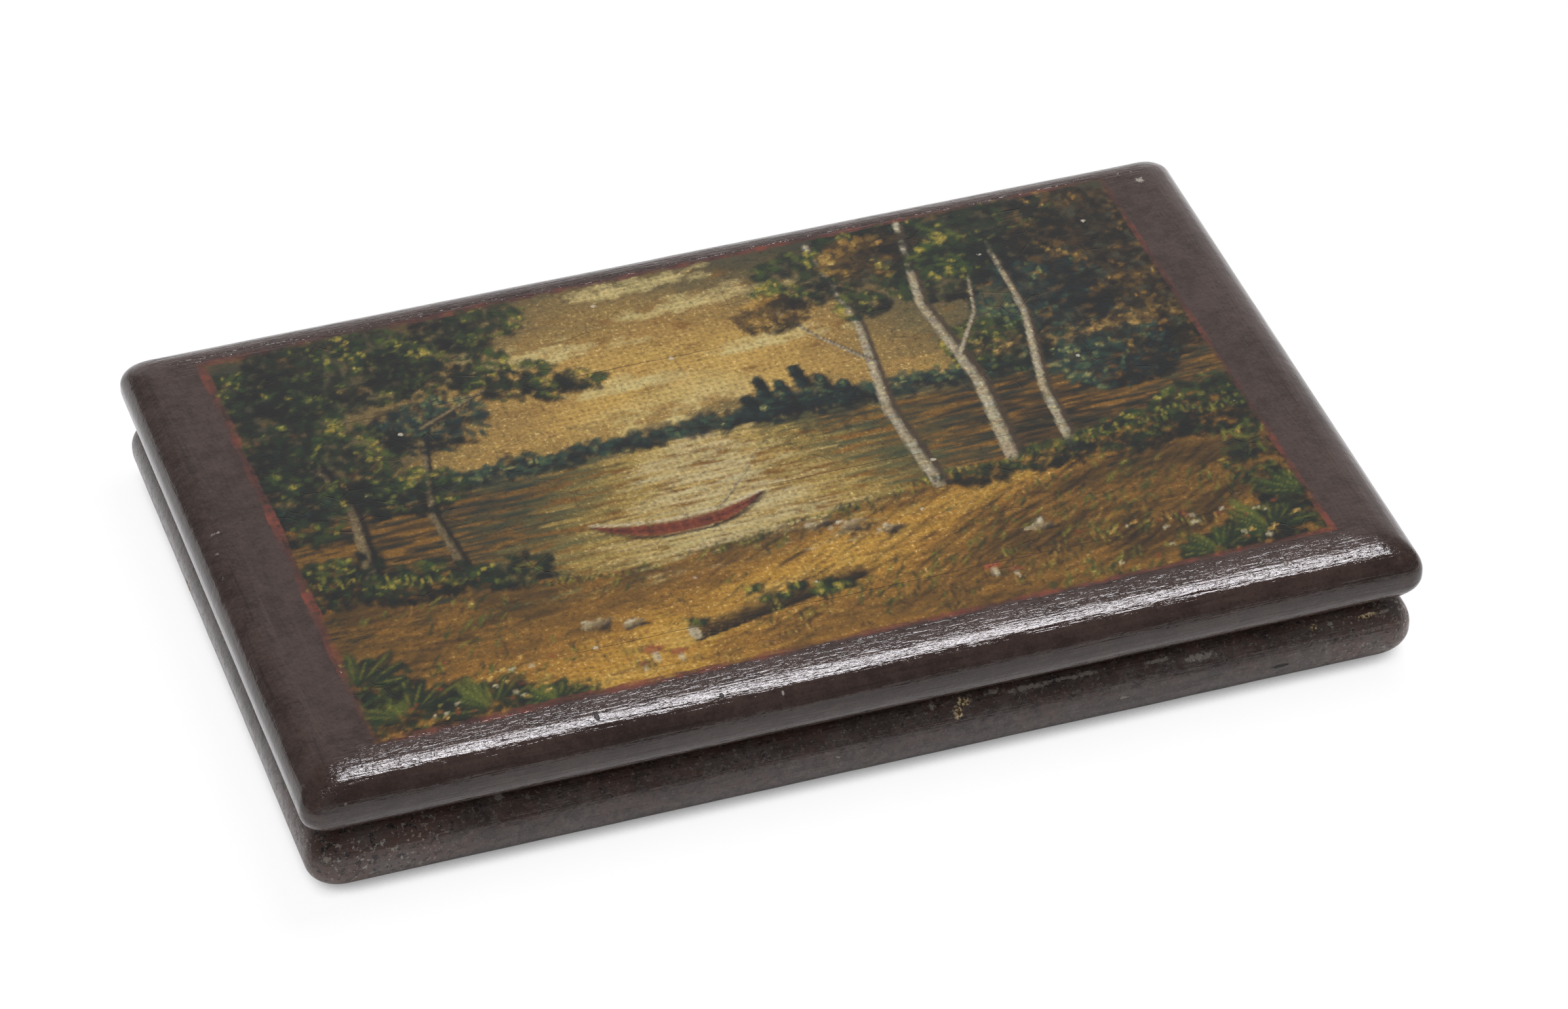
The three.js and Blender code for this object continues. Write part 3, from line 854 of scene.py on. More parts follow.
# %% Foliage, trunks and grass
def foliage(x, y, wide, high, count, paints, light=(-0.75, 0.6), shade=0.0):
    """A clump of leaves: dark large touches first, then mid ones, then small lights that face the glow."""
    for share, size, lighter in ((0.45, 1.5, -0.28), (0.35, 1.0, 0.0), (0.2, 0.62, 0.3)):
        for _ in range(int(count * share)):
            turn, out = hand.uniform(0, 2 * np.pi), math.sqrt(hand.uniform())
            out *= 0.82 + 0.36 * float(drift(turn * 1.3 + x, y, 31))
            px, py = x + wide * out * math.cos(turn), y + high * out * math.sin(turn)
            clump = float(drift(px / 3.2, py / 2.4, 41))
            if lighter > 0 and clump < 0.5:
                continue
            facing = out * (math.cos(turn) * light[0] + math.sin(turn) * light[1])
            lit = 0.40 + 0.34 * facing + lighter + 0.75 * (clump - 0.5) + shade
            stroke(px, py, hand.uniform(0.5, 1.0) * size, hand.uniform(0.3, 0.55) * size,
                   hand.uniform(0, np.pi), vary(pick(paints, lit)), 0.85, 0.6)


def trunk(points, thick, thin, paints, bands=0.0):
    """A trunk or branch along points, lit on its left side, with dark bands where the bark is a birch's."""
    points = np.array(points, float)
    run = np.r_[0, np.cumsum(np.hypot(*np.diff(points, axis=0).T))]
    for at in np.arange(0, run[-1], 0.3):
        x, y = (np.interp(at, run, points[:, k]) for k in (0, 1))
        nx, ny = (np.interp(at + 0.3, run, points[:, k]) for k in (0, 1))
        wide = thick + (thin - thick) * at / run[-1]
        angle = math.atan2(ny - y, nx - x)
        stroke(x, y, 0.7, wide, angle, vary(paints[1], 0.12), 0.9, 0.5)
        lit = vary(pick(paints, hand.uniform(0.6, 0.95)), 0.08)
        stroke(x - wide * 0.3, y, 0.6, wide * 0.62, angle, lit, 0.75, 0.7)
        if hand.uniform() < bands:
            aside, long = hand.normal(0, wide * 0.4), wide * hand.uniform(0.3, 0.7)
            stroke(x + aside, y, long, 0.13, hand.normal(0, 0.2), vary(paints[0], 0.2), 0.9, 0.4)


def tuft(x, y, high, paints, blades=9):
    for _ in range(blades):
        lean, tall = hand.normal(0.1, 0.3), high * hand.uniform(0.5, 1.1)
        foot = x + hand.normal(0, high * 0.45)
        green = vary(pick(paints, hand.uniform(0.15, 0.95)))
        stroke(foot + lean * tall / 2, y + tall / 2, tall / 2, 0.13, np.pi / 2 - lean, green, 0.8, 0.7)


def broad_plant(x, y, size, paints, leaves=9):
    """A low plant with long leaves that fan out, each with a light midrib."""
    for k in range(leaves):
        turn = np.pi * (0.05 + 0.9 * k / (leaves - 1)) + hand.normal(0, 0.08)
        long = size * hand.uniform(0.7, 1.0)
        px, py = x + math.cos(turn) * long * 0.62, y + math.sin(turn) * long * 0.5
        lit = 0.25 + 0.5 * math.cos(turn - 2.2) ** 2 * hand.uniform(0.5, 1)
        stroke(px, py, long * 0.5, long * 0.15, turn * 0.94, vary(pick(paints, lit), 0.06), 0.95, 0.8)
        py += long * 0.03
        stroke(px, py, long * 0.42, long * 0.025, turn * 0.94, vary(paints[4], 0.06), 0.7, 0.9)


def blossom(x, y, colour, size=1.0):
    for _ in range(5):
        turn, out = hand.uniform(0, 2 * np.pi), hand.uniform(0.1, 0.4) * size
        px, py = x + out * math.cos(turn), y + out * 0.7 * math.sin(turn)
        stroke(px, py, 0.24 * size, 0.17 * size, turn, vary(colour, 0.14), 0.85, 1.0)


print("foliage, trunks, grass, plants and blossoms ready")

# %% Where the clumps of leaves stand, as (x, y, half width, half height, touches)
LEFT_WOOD = (
    (4, 66, 11, 12, 700), (16, 73, 13, 9, 700), (29, 70, 9, 7, 380), (10, 55, 11, 8, 480),
    (25, 58, 8, 6, 300), (2, 46, 8, 8, 300), (36, 77, 8, 5, 220), (18, 46, 8, 5, 240),
)
RIGHT_WOOD = (
    (122, 68, 12, 13, 800), (108, 74, 12, 8, 560), (124, 50, 9, 10, 500), (111, 58, 10, 9, 520),
    (98, 68, 8, 7, 320), (116, 42, 9, 6, 320), (101, 50, 7, 6, 260), (92, 78, 8, 5, 240),
)
BIRCH_CROWNS = (
    (82, 72, 8, 6, 300), (75, 66, 5, 4, 170), (92, 74, 8, 5, 240), (103, 70, 7, 5, 220), (87, 64, 4, 3, 90),
)
UNDERGROWTH = (
    (3, 31, 9, 5, 300), (14, 28, 8, 4, 230), (26, 26, 6, 3, 140), (124, 29, 9, 6, 320),
    (112, 27, 8, 4, 230), (100, 26, 6, 2.6, 130), (90, 25, 5, 2.0, 80), (127, 16, 7, 8, 260),
)
print(len(LEFT_WOOD + RIGHT_WOOD + BIRCH_CROWNS + UNDERGROWTH), "clumps planned")

# %% Woods, birches and boat
def paint_far_shore():
    for x in np.arange(0, WIDE, 1.2):
        y = HORIZON + 0.8 + hand.uniform(0, 1.0)
        foliage(x, y, 1.5, 1.2 + hand.uniform(0, 1.4), 13, COOL_LEAVES, shade=0.05)
    for x, high in ((66, 5), (68.5, 8), (71, 6.5), (74, 9), (76.5, 6), (79, 4)):
        trunk([(x, HORIZON), (x, HORIZON + high)], 0.25, 0.12, BARK[[0, 0, 1, 1, 2]])
        for k in np.linspace(0.15, 1, 7):
            foliage(x, HORIZON + high * k, 1.9 * (1.1 - k), 0.6, 16, COOL_LEAVES, shade=-0.06)
        for k in np.linspace(0.1, 1, 12):
            aside = x + hand.normal(0, 0.4)
            stroke(aside, HORIZON - high * k, 1.9 * (1.15 - k), 0.22, 0, vary(WATER[0], 0.15), 0.6, 0.3)


def paint_left_wood():
    trunk([(9, 28), (10.5, 44), (8, 60)], 1.5, 0.7, DARK_BARK)
    trunk([(21, 27), (20, 40), (23, 54), (27, 64)], 1.1, 0.4, DARK_BARK)
    for clump in LEFT_WOOD:
        foliage(*clump, COOL_LEAVES if hand.uniform() < 0.4 else LEAVES, (0.8, 0.5))
    trunk([(24, 58), (34, 63), (45, 62)], 0.5, 0.15, DARK_BARK)
    for x, y in ((37, 62), (42, 60.5), (46, 61), (40, 65), (33, 66)):
        foliage(x, y, 3.4, 2.4, 70, LEAVES, (0.8, 0.5), 0.05)


def paint_right_wood():
    for clump in RIGHT_WOOD:
        leaf = COOL_LEAVES if clump[0] > 110 else LEAVES
        foliage(*clump, leaf if hand.uniform() < 0.75 else AUTUMN, (-0.85, 0.45), -0.03)


def paint_birches():
    trunk([(84, 25), (83, 42), (85.5, 60), (84.5, 79)], 1.5, 0.6, BARK, 0.3)
    trunk([(95, 27), (96.5, 44), (95, 62), (98, 80)], 1.7, 0.7, BARK, 0.3)
    trunk([(103, 26), (104, 40), (107.5, 56), (108, 72)], 1.2, 0.5, BARK, 0.3)
    trunk([(84.6, 52), (79, 60), (76, 66)], 0.5, 0.2, BARK, 0.2)
    trunk([(96, 50), (101, 58), (103, 66)], 0.5, 0.2, BARK, 0.2)
    for clump in BIRCH_CROWNS:
        foliage(*clump, AUTUMN if hand.uniform() < 0.5 else LEAVES, (-0.8, 0.5), 0.1)


def paint_boat():
    for share in np.linspace(-1, 1, 90):
        x, sheer = 50 + 11.5 * share, 29.2 + 1.9 * share * share
        deep = 2.7 * (1 - abs(share) ** 3)
        plank = vary(pick(HULL, 0.35 + 0.3 * hand.uniform()), 0.08)
        stroke(x, sheer - deep / 2, 0.5, deep / 2 + 0.12, 0.0, plank, 0.9, 0.6)
        stroke(x, sheer + 0.35, 0.6, 0.24, 0.3 * share, vary(BARK[3], 0.06), 0.85, 0.9)
        stroke(x, sheer - deep * 0.5, 0.7, 0.12, 0.3 * share, vary(HULL[0], 0.1), 0.6, 0.6)
        stroke(x, sheer - deep - 0.25, 0.8, 0.22, 0.0, vary(WATER[0], 0.1), 0.6, 0.4)
    for x in (45.5, 50.5, 55.0):
        stroke(x, 29.9, 0.45, 0.8, 0.1, vary(BARK[2], 0.06), 0.9, 0.9)
    trunk([(56, 30.6), (61.5, 36.5)], 0.22, 0.16, BARK[[0, 1, 2, 3, 3]])


print("woods, birches and boat planned")

# %% The near bank
def bank_edge(x):
    """Height of the near bank's edge above the picture's lower side."""
    left_rise = 7 * math.exp(-(((x - 4) / 20) ** 2))
    return 25 + 3.5 * math.sin((x - 74) / 24) + left_rise + 2.0 * (float(drift(x / 7, 0, 11)) - 0.5)


def track_middle(y):
    """Where the sandy track runs, at this height."""
    return 26 + 2.1 * y + 0.03 * y * y


def paint_bank():
    for _ in range(4600):
        x = hand.uniform(0, WIDE)
        y = hand.uniform(0, 1) * bank_edge(x)
        track = math.exp(-(((x - track_middle(y)) / (13 + 0.5 * (24 - y))) ** 2))
        shade = 0.3 + 0.46 * track + 0.45 * (float(drift(x / 8, y / 4, 21)) - 0.5) + hand.normal(0, 0.07)
        lean = 0.12 - 0.1 * math.sin(x / 20)
        dab(x, y, (1.0, 3.4), (0.22, 0.6), (lean, 0.18), pick(EARTH, shade), 0.07, 0.75, 0.5)


def paint_turf():
    """Patches of rough grass that leave the sandy track open."""
    for _ in range(1500):
        x, y = hand.uniform(0, WIDE), hand.uniform(0, 24)
        on_track = abs(x - track_middle(y)) < 9 + 0.5 * (24 - y)
        if on_track or drift(x / 9, y / 5, 51) < 0.45 or y > bank_edge(x) - 1:
            continue
        greens = LEAVES if hand.uniform() < 0.7 else AUTUMN
        size = hand.uniform(0.5, 1.5), hand.uniform(0.14, 0.3)
        angle, shade = np.pi / 2 + hand.normal(-0.5, 0.4), hand.uniform(0.3, 0.85)
        stroke(x, y, *size, angle, vary(pick(greens, shade), 0.1), 0.8, 0.6)


def paint_log():
    """A fallen trunk with its sawn end to the left."""
    for share in np.linspace(0, 1, 130):
        x, y = 44 + 24 * share, 7.2 + 4.6 * share
        for level in np.linspace(-1, 1, 6):
            lit = 0.42 + 0.3 * level + hand.normal(0, 0.1)
            side = y + level * (1.5 - 0.5 * share)
            stroke(x, side, 0.8, 0.3, 0.19, vary(pick(AUTUMN, lit), 0.1), 0.8, 0.6)
    for size in np.linspace(1.5, 0.2, 8):
        ring = pick(BARK, 0.85 - 0.35 * (int(size * 5) % 2))
        stroke(44, 7.2, size * 0.62, size, 0.15, vary(ring, 0.05), 0.95, 0.8)
    for _ in range(14):
        foliage(44 + 24 * hand.uniform(), 8.4 + 4.6 * hand.uniform(), 1.2, 0.5, 10, LEAVES, shade=0.1)


def paint_mushrooms():
    for x, y, size in ((38, 4.5, 1.7), (41, 3.4, 1.3), (36, 2.8, 1.0), (84, 6.2, 1.4), (86.6, 5.0, 1.1)):
        stroke(x, y, size * 0.3, size * 0.8, 0, vary(BARK[3], 0.05), 0.95, 0.8)
        stroke(x, y + size * 0.8, size, size * 0.5, 0, vary(HULL[2], 0.05), 0.95, 0.9)
        stroke(x - size * 0.3, y + size, size * 0.45, size * 0.2, 0.2, vary(HULL[3], 0.05), 0.8, 1.0)


def paint_cast_shadows():
    for _ in range(260):
        x, y = hand.uniform(50, 118), hand.uniform(4, 24)
        dab(x, y, (1.5, 5.0), (0.15, 0.45), (0.5, 0.1), EARTH[0], 0.15, 0.5, 0.3)


print("near bank planned, its edge from", round(bank_edge(0.0), 1), "to", round(bank_edge(WIDE), 1), "mm")

# %% Stones and plants in front, and the painting itself
def paint_undergrowth():
    for clump in UNDERGROWTH:
        foliage(*clump, LEAVES, (-0.3, 0.8), -0.04)
    for _ in range(130):
        x = hand.uniform(0, WIDE)
        tuft(x, bank_edge(x) + hand.uniform(-1.5, 0.3), hand.uniform(0.8, 2.2), LEAVES, 6)


STONES = (
    (70, 20.5, 2.3), (74.5, 18.6, 1.6), (66, 22.3, 1.3), (33, 12.5, 2.0), (37.4, 11.2, 1.2), (93, 12.6, 1.5),
)
FRONT_PLANTS = ((6, 4, 9.5), (16, 2, 7.5), (1, 11, 8), (24, 0.5, 5), (121, 3, 8), (113, 1, 6), (128, 9, 7))


def paint_stones():
    for x, y, size in STONES:
        for _ in range(46):
            ox, oy = hand.normal(0, 0.5, 2)
            grey = pick(BARK, 0.35 + 0.4 * (0.8 * oy - 0.5 * ox))
            px, py = x + ox * size, y + oy * size * 0.55
            dab(px, py, (0.3, 0.8), (0.2, 0.4), (0.2, 0.4), grey, 0.06, 0.85, 0.8)


def paint_front_plants():
    for _ in range(80):
        x, y, high = hand.uniform(0, WIDE), hand.uniform(0.2, 9), hand.uniform(1.2, 3.0)
        tuft(x, y, high, LEAVES if hand.uniform() < 0.6 else AUTUMN)
    for x, y, size in FRONT_PLANTS:
        foliage(x, y, size * 0.95, size * 0.6, 170, LEAVES, (0.3, 0.8), -0.08)
        broad_plant(x, y, size, LEAVES)
    for _ in range(54):
        near = hand.choice([9.0, 18.0, 104.0, 118.0])
        colour = (BARK[3], HULL[2], GOLD_SKY[1])[hand.integers(3)]
        blossom(near + hand.normal(0, 4.5), abs(hand.normal(6, 3.2)), colour, hand.uniform(0.7, 1.2))


STEPS = (
    paint_ground, paint_sky, paint_clouds, paint_hills, paint_water, paint_far_shore, paint_left_wood,
    paint_right_wood, paint_bank, paint_birches, paint_boat, paint_undergrowth, paint_turf,
    paint_cast_shadows, paint_stones, paint_log, paint_mushrooms, paint_front_plants,
)
VARNISH_CLEAR, VARNISH_DULL = 0.86, 0.7
for step in STEPS:
    step()
light = paint @ np.array([0.21, 0.72, 0.07])
paint *= VARNISH_CLEAR / (1 + VARNISH_DULL * light)[..., None]
print("painted and varnished: mean light", [round(float(v), 3) for v in paint.mean((0, 1))])

# %% [markdown]
# ## The film of paint and varnish
# The canvas now goes onto a real film over the lid: a fine grid whose points carry the colours and stand up
# a little where the paint is thick. It lies in a shallow bed in the lid's flat face and is level with it all
# round, so that no edge shows. What is finer than the grid comes from nodes: bristle marks, a web of age
# cracks, cracks along the grain of the wood, small losses, and the worn red line, which any such lid may
# have. The line was ruled by hand and is a little out of square with the box, and the picture leans with it.

# %% The film
FILM_STEP = 0.345
FILM_RELIEF = 0.02 * MM
PICTURE_WIDE = PICTURE_RIGHT - PICTURE_LEFT
PICTURE_TALL = PICTURE_BACK - PICTURE_FRONT
LEAN_X, LEAN_Y = 0.014, 0.01


def sampled(canvas, x, y):
    """The canvas at places between its points."""
    x, y = x + LEAN_X * y, y - LEAN_Y * x
    u = np.clip((x - PICTURE_LEFT) / PICTURE_WIDE, 0, 1) * (canvas.shape[1] - 1.001)
    v = np.clip((y - PICTURE_FRONT) / PICTURE_TALL, 0, 1) * (canvas.shape[0] - 1.001)
    i, j = u.astype(int), v.astype(int)
    u, v = u - i, v - j
    if canvas.ndim == 3:
        u, v = u[..., None], v[..., None]
    near = canvas[j, i] * (1 - u) + canvas[j, i + 1] * u
    far = canvas[j + 1, i] * (1 - u) + canvas[j + 1, i + 1] * u
    return near * (1 - v) + far * v


def film_grid():
    """The upper side of the film: its places in mm, and its heights in metres."""
    xs = np.linspace(film_left, film_right, round((film_right - film_left) / FILM_STEP) + 1)
    ys = np.linspace(film_front, film_back, round((film_back - film_front) / FILM_STEP) + 1)
    x, y = np.meshgrid(xs, ys)
    from_end = np.minimum(x - film_left, film_right - x)
    within = np.minimum(from_end, np.minimum(y - film_front, film_back - y))
    return x, y, lid_high.z - FILM_ROOM + FILM_RELIEF * sampled(relief, x, y) * ramp_up(within, 0, 1)


def picture_film():
    x, y, z = film_grid()
    points = np.stack([x * MM, y * MM, z], 2).reshape(-1, 3)
    index = np.arange(x.size).reshape(x.shape)
    squares = np.stack([index[:-1, :-1], index[:-1, 1:], index[1:, 1:], index[1:, :-1]], 2)
    edge = np.concatenate([index[0, :-1], index[:-1, -1], index[-1, :0:-1], index[:0:-1, 0]])
    lower = points[edge] * (1, 1, 0) + (0, 0, lid_high.z - FILM_ROOM - FILM_THICK)
    under = x.size + np.arange(edge.size)
    walls = np.stack([under, np.roll(under, -1), np.roll(edge, -1), edge], 1)
    points = np.concatenate([points, lower])
    faces = [*squares.reshape(-1, 4).tolist(), *walls.tolist(), under[::-1].tolist()]
    film = mesh_piece("picture_film", points, faces)
    colours = np.ones((len(points), 4), np.float32)
    colours[:, :3] = sampled(paint, points[:, 0] / MM, points[:, 1] / MM)
    layer = film.data.attributes.new("paint", "FLOAT_COLOR", "POINT")
    layer.data.foreach_set("color", colours.ravel())
    return film


film = picture_film()
wear_layers(film, lid_high, 0.0, [])
print("film of", len(film.data.polygons), "faces")

# %% Colours and places of the picture's age
BRISTLE_DARK, TOUCH_DARK = (0.004, 0.003, 0.002, 1), (0.006, 0.006, 0.004, 1)
GLINT, HATCH = (0.86, 0.64, 0.25, 1), (0.05, 0.026, 0.008, 1)
WEB, CRACK, LOSS = (0.012, 0.008, 0.005, 1), (0.01, 0.006, 0.004, 1), (0.55, 0.48, 0.34, 1)
RED_DARK, RED_LIGHT = (0.062, 0.022, 0.018, 1), (0.20, 0.048, 0.027, 1)
GRAIN_CRACKS = ((-31.5, -40, 44), (-7.0, -5, 62), (23.0, -62, 6))
CRACK_FADE = 8
print(len(GRAIN_CRACKS), "cracks along the grain, as (height, start, stop) in mm")

# %% The picture's node group
def crack_line(x, y, across, start, stop):
    """A thin crack along the grain, at this height of the picture, from start to stop."""
    line = spread(abs(y - across * MM), 0.09 * MM, 0.02 * MM)
    line = line * spread(x, start * MM, (start + CRACK_FADE) * MM)
    return line * spread(x, stop * MM, (stop - CRACK_FADE) * MM)


def fine_touches(group, place, bristle, colour):
    """The finest touches of the paint: dark ones everywhere, gold glints and a weave where it is light."""
    light = Number(group, put(group, "ShaderNodeRGBToBW", {0: colour}).outputs[0])
    touch = speckle(group, place, 1250, 4.0, 0.7)
    colour = blend(group, spread(bristle, 0.46, 0.22, 0.0, 0.55), colour, BRISTLE_DARK)
    colour = blend(group, spread(touch, 0.5, 0.25, 0.0, 0.58), colour, TOUCH_DARK)
    glint = spread(bristle * 0.5 + touch * 0.5, 0.53, 0.68, 0.0, 0.7) * spread(light, 0.03, 0.22)
    colour = blend(group, glint, colour, GLINT)
    hatch = spread(light, 0.07, 0.25, 0.0, 0.3)
    for way, phase in (("X", 0.0), ("Y", 1.0)):
        inputs = {"Vector": place, "Scale": 330.0, "Distortion": 1.2, "Detail": 1.0, "Phase Offset": phase}
        hatch = hatch * put(group, "ShaderNodeTexWave", inputs, bands_direction=way).outputs["Fac"]
    return blend(group, hatch, colour, HATCH)


def aged(group, place, bristle, wobble, colour):
    """The paint with a web of cracks, cracks along the grain and losses, and the depth of web and losses."""
    x, y, _ = split(group, place)
    cell = {"Vector": place, "Scale": 300.0}
    edge = put(group, "ShaderNodeTexVoronoi", cell, feature="DISTANCE_TO_EDGE").outputs["Distance"]
    broken = spread(speckle(group, place, 130, 3.0), 0.5, 0.7, 0.0, 0.35)
    web = spread(Number(group, edge), 0.045, 0.0) * broken
    colour = blend(group, web, colour, WEB)
    for across, start, stop in GRAIN_CRACKS:
        colour = blend(group, crack_line(x, y + wobble, across, start, stop) * 0.8, colour, CRACK)
    away, own = cells(group, place, 620.0)
    chosen = own > spread(speckle(group, place, 70, 3.0), 0.45, 0.72, 0.9985, 0.965)
    loss = chosen * spread(bristle * 0.5 + away, 0.5, 0.4)
    return blend(group, loss * 0.75, colour, LOSS), web + loss


def past_border(group, place, wobble):
    """How far a point lies outside the ruled and ragged border of the picture."""
    x, y, _ = split(group, place)
    off_x = abs(y * LEAN_X + x - (PICTURE_LEFT + PICTURE_RIGHT) / 2 * MM)
    off_y = abs(x * -LEAN_Y + y - (PICTURE_FRONT + PICTURE_BACK) / 2 * MM)
    past = wobble * 0.45 + larger(off_x - PICTURE_WIDE / 2 * MM, off_y - PICTURE_TALL / 2 * MM)
    return speckle(group, place, 520, 4.0, 0.7) * (0.7 * MM) + (past - 0.25 * MM)


def red_line(group, place, past, heavy):
    """Where the red line shows: wider on the left, and worn through in places."""
    wide = spread(split(group, place)[0], -50 * MM, 55 * MM, -1.1 * MM, -0.7 * MM)
    line = spread(heavy * wide + abs(past), 0.2 * MM, -0.12 * MM)
    line = line * spread(speckle(group, place, 330, 5.0, 0.75), 0.34, 0.58, 0.18, 0.95)
    return line * spread(speckle(group, place, 38, 2.0), 0.36, 0.58, 0.35, 1.0)


def picture_effect():
    coat = [("Lacquer", "Color"), ("Lacquer Roughness", "Float"), ("Lacquer Height", "Float")]
    group, given, out = effect("varnished_picture", [("Paint", "Color"), *coat])
    place = box_place(group)
    bristle = speckle(group, place, 2300, 3.0, 0.6)
    wobble = speckle(group, place, 85, 4.0, 0.65) * (1.1 * MM) - 0.55 * MM
    colour = fine_touches(group, place, bristle, given["Paint"])
    colour, hurt = aged(group, place, bristle, wobble, colour)
    past = past_border(group, place, wobble)
    inside = spread(past, 0.25 * MM, -0.1 * MM)
    heavy = speckle(group, place, 120, 4.0, 0.7)
    red = blend(group, spread(heavy, 0.42, 0.7), RED_DARK, RED_LIGHT)
    colour = blend(group, inside, given["Lacquer"], colour)
    colour = blend(group, red_line(group, place, past, heavy), colour, red)
    roughness = between(inside, given["Lacquer Roughness"], bristle * 0.10 + 0.05)
    give(group, out, colour, roughness, between(inside, given["Lacquer Height"], bristle * 0.3 - 0.15 - hurt))
    return group


varnished_picture = picture_effect()
print("picture group:", len(varnished_picture.nodes), "nodes")

# %% The picture's material
def picture_finish():
    material, tree, shader = finish("varnished_picture", IOR=1.5)
    coat = lacquer_coat(tree)
    colours = put(tree, "ShaderNodeAttribute", attribute_name="paint").outputs["Color"]
    under = {"Lacquer": coat["Colour"]}
    for label in ("Roughness", "Height"):
        under[f"Lacquer {label}"] = coat[label]
    look = use(tree, varnished_picture, {"Paint": colours, **under})
    coat_shader(tree, shader, look, LACQUER_RELIEF)
    return material


smooth(film, 60)
dress(film, picture_finish())
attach(film, "lid")
print("picture on", film.name)

# %% [markdown]
# ## Cedar inside
# The inside of a cigarette box is lined with cedar, which keeps tobacco moist and needs no varnish. The
# boards of the CAD part are already the right shape, so they only get a finish: straight grain along each
# board, with darker late wood, short pores, and the dry sheen of planed softwood. Boards across the box need
# their grain turned, so the node group takes the grain's direction as an input.

# %% The cedar node group and its materials
CEDAR_DEEP, CEDAR_PALE = (0.36, 0.185, 0.095, 1), (0.52, 0.31, 0.175, 1)
LATE_WOOD, PORE, STAIN = (0.23, 0.095, 0.045, 1), (0.15, 0.06, 0.028, 1), (0.20, 0.10, 0.05, 1)
CEDAR_RELIEF = 0.04 * MM


def vector(tree, x=0.0, y=0.0, z=0.0):
    return put(tree, "ShaderNodeCombineXYZ", {0: x, 1: y, 2: z}).outputs[0]


def cedar_effect():
    group, given, out = effect("planed_cedar", [("Along X", "Float")])
    x, y, z = split(group, box_place(group))
    ways = {0: given["Along X"], 4: vector(group, y, x, z), 5: vector(group, x, y, z)}
    place = put(group, "ShaderNodeMix", ways, data_type="VECTOR").outputs[1]
    bend = speckle(group, place, 1.0, 2.0, 0.5, (14, 60, 60))
    drawn = put(group, "ShaderNodeMapping", {"Vector": place, "Scale": (6, 210, 210)}).outputs[0]
    inputs = {"Vector": drawn, "Scale": 1.0, "Detail": 3.0, "Distortion": bend}
    rings = Number(group, put(group, "ShaderNodeTexNoise", inputs).outputs["Fac"])
    pores = speckle(group, place, 1.0, 2.0, 0.6, (350, 5200, 5200))
    stain = speckle(group, place, 40, 4.0, 0.6)
    colour = blend(group, spread(rings, 0.35, 0.65), CEDAR_DEEP, CEDAR_PALE)
    colour = blend(group, spread(rings, 0.60, 0.72, 0.0, 0.5), colour, LATE_WOOD)
    colour = blend(group, spread(pores, 0.42, 0.28, 0.0, 0.55), colour, PORE)
    colour = blend(group, spread(stain, 0.5, 0.75, 0.0, 0.3), colour, STAIN)
    give(group, out, colour, pores * -0.2 + 0.72, rings * 0.4 + pores * 0.6)
    return group


planed_cedar = cedar_effect()


def cedar_finish(name, along_x):
    material, tree, shader = finish(name, IOR=1.45, Specular_IOR_Level=0.3)
    coat_shader(tree, shader, use(tree, planed_cedar, {"Along X": along_x}), CEDAR_RELIEF)
    return material


cedar_long = cedar_finish("cedar_along_the_box", 1.0)
cedar_across = cedar_finish("cedar_across_the_box", 0.0)
LONG_BOARDS = ("lid_lining", "base_lining", "liner_front", "liner_back")
CROSS_BOARDS = ("liner_left", "liner_right", "divider")
for node in LONG_BOARDS + CROSS_BOARDS:
    dress(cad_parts[node], cedar_long if node in LONG_BOARDS else cedar_across)
print("cedar on", len(LONG_BOARDS + CROSS_BOARDS), "pieces")

# %% [markdown]
# ## Brass hinges
# Two small butt hinges join the halves. Each half of a hinge is a leaf with three or two knuckles rolled
# along one edge, and countersunk holes for its screws. The knuckles repeat, so Geometry Nodes set them out:
# points along the pin, every second one kept, and a knuckle with its tongue placed on each. One tree makes
# both halves of both hinges, from the same named sizes.

# %% Helpers for Geometry Nodes
def node_tree(name, sizes):
    """A Geometry Nodes tree with a geometry input and output, and the named inputs."""
    tree = bpy.data.node_groups.new(name, "GeometryNodeTree")
    for label, kind in (("Geometry", "Geometry"), *sizes):
        tree.interface.new_socket(label, in_out="INPUT", socket_type=f"NodeSocket{kind}")
    tree.interface.new_socket("Geometry", in_out="OUTPUT", socket_type="NodeSocketGeometry")
    return tree, sockets(tree.nodes.new("NodeGroupInput")), tree.nodes.new("NodeGroupOutput").inputs[0]


def block(tree, x, y, z):
    return put(tree, "GeometryNodeMeshCube", {"Size": vector(tree, x, y, z)}).outputs["Mesh"]


def round_head(tree, sides, top, bottom, deep):
    """A cone cut off short, as a countersunk head is and the hole for it."""
    inputs = {"Vertices": sides, "Radius Top": top, "Radius Bottom": bottom, "Depth": deep}
    return put(tree, "GeometryNodeMeshCone", inputs).outputs["Mesh"]


def moved(tree, shape, place=(0, 0, 0), turn=(0, 0, 0)):
    inputs = {"Geometry": shape, "Translation": place, "Rotation": turn}
    return put(tree, "GeometryNodeTransform", inputs).outputs[0]


def joined(tree, *shapes):
    node = put(tree, "GeometryNodeJoinGeometry")
    for shape in shapes:
        tree.links.new(shape, node.inputs[0])
    return node.outputs[0]


def cut_out(tree, shape, *tools):
    node = put(tree, "GeometryNodeMeshBoolean", {"Mesh 1": shape}, operation="DIFFERENCE", solver="EXACT")
    for tool in tools:
        tree.links.new(tool, node.inputs["Mesh 2"])
    return node.outputs[0]


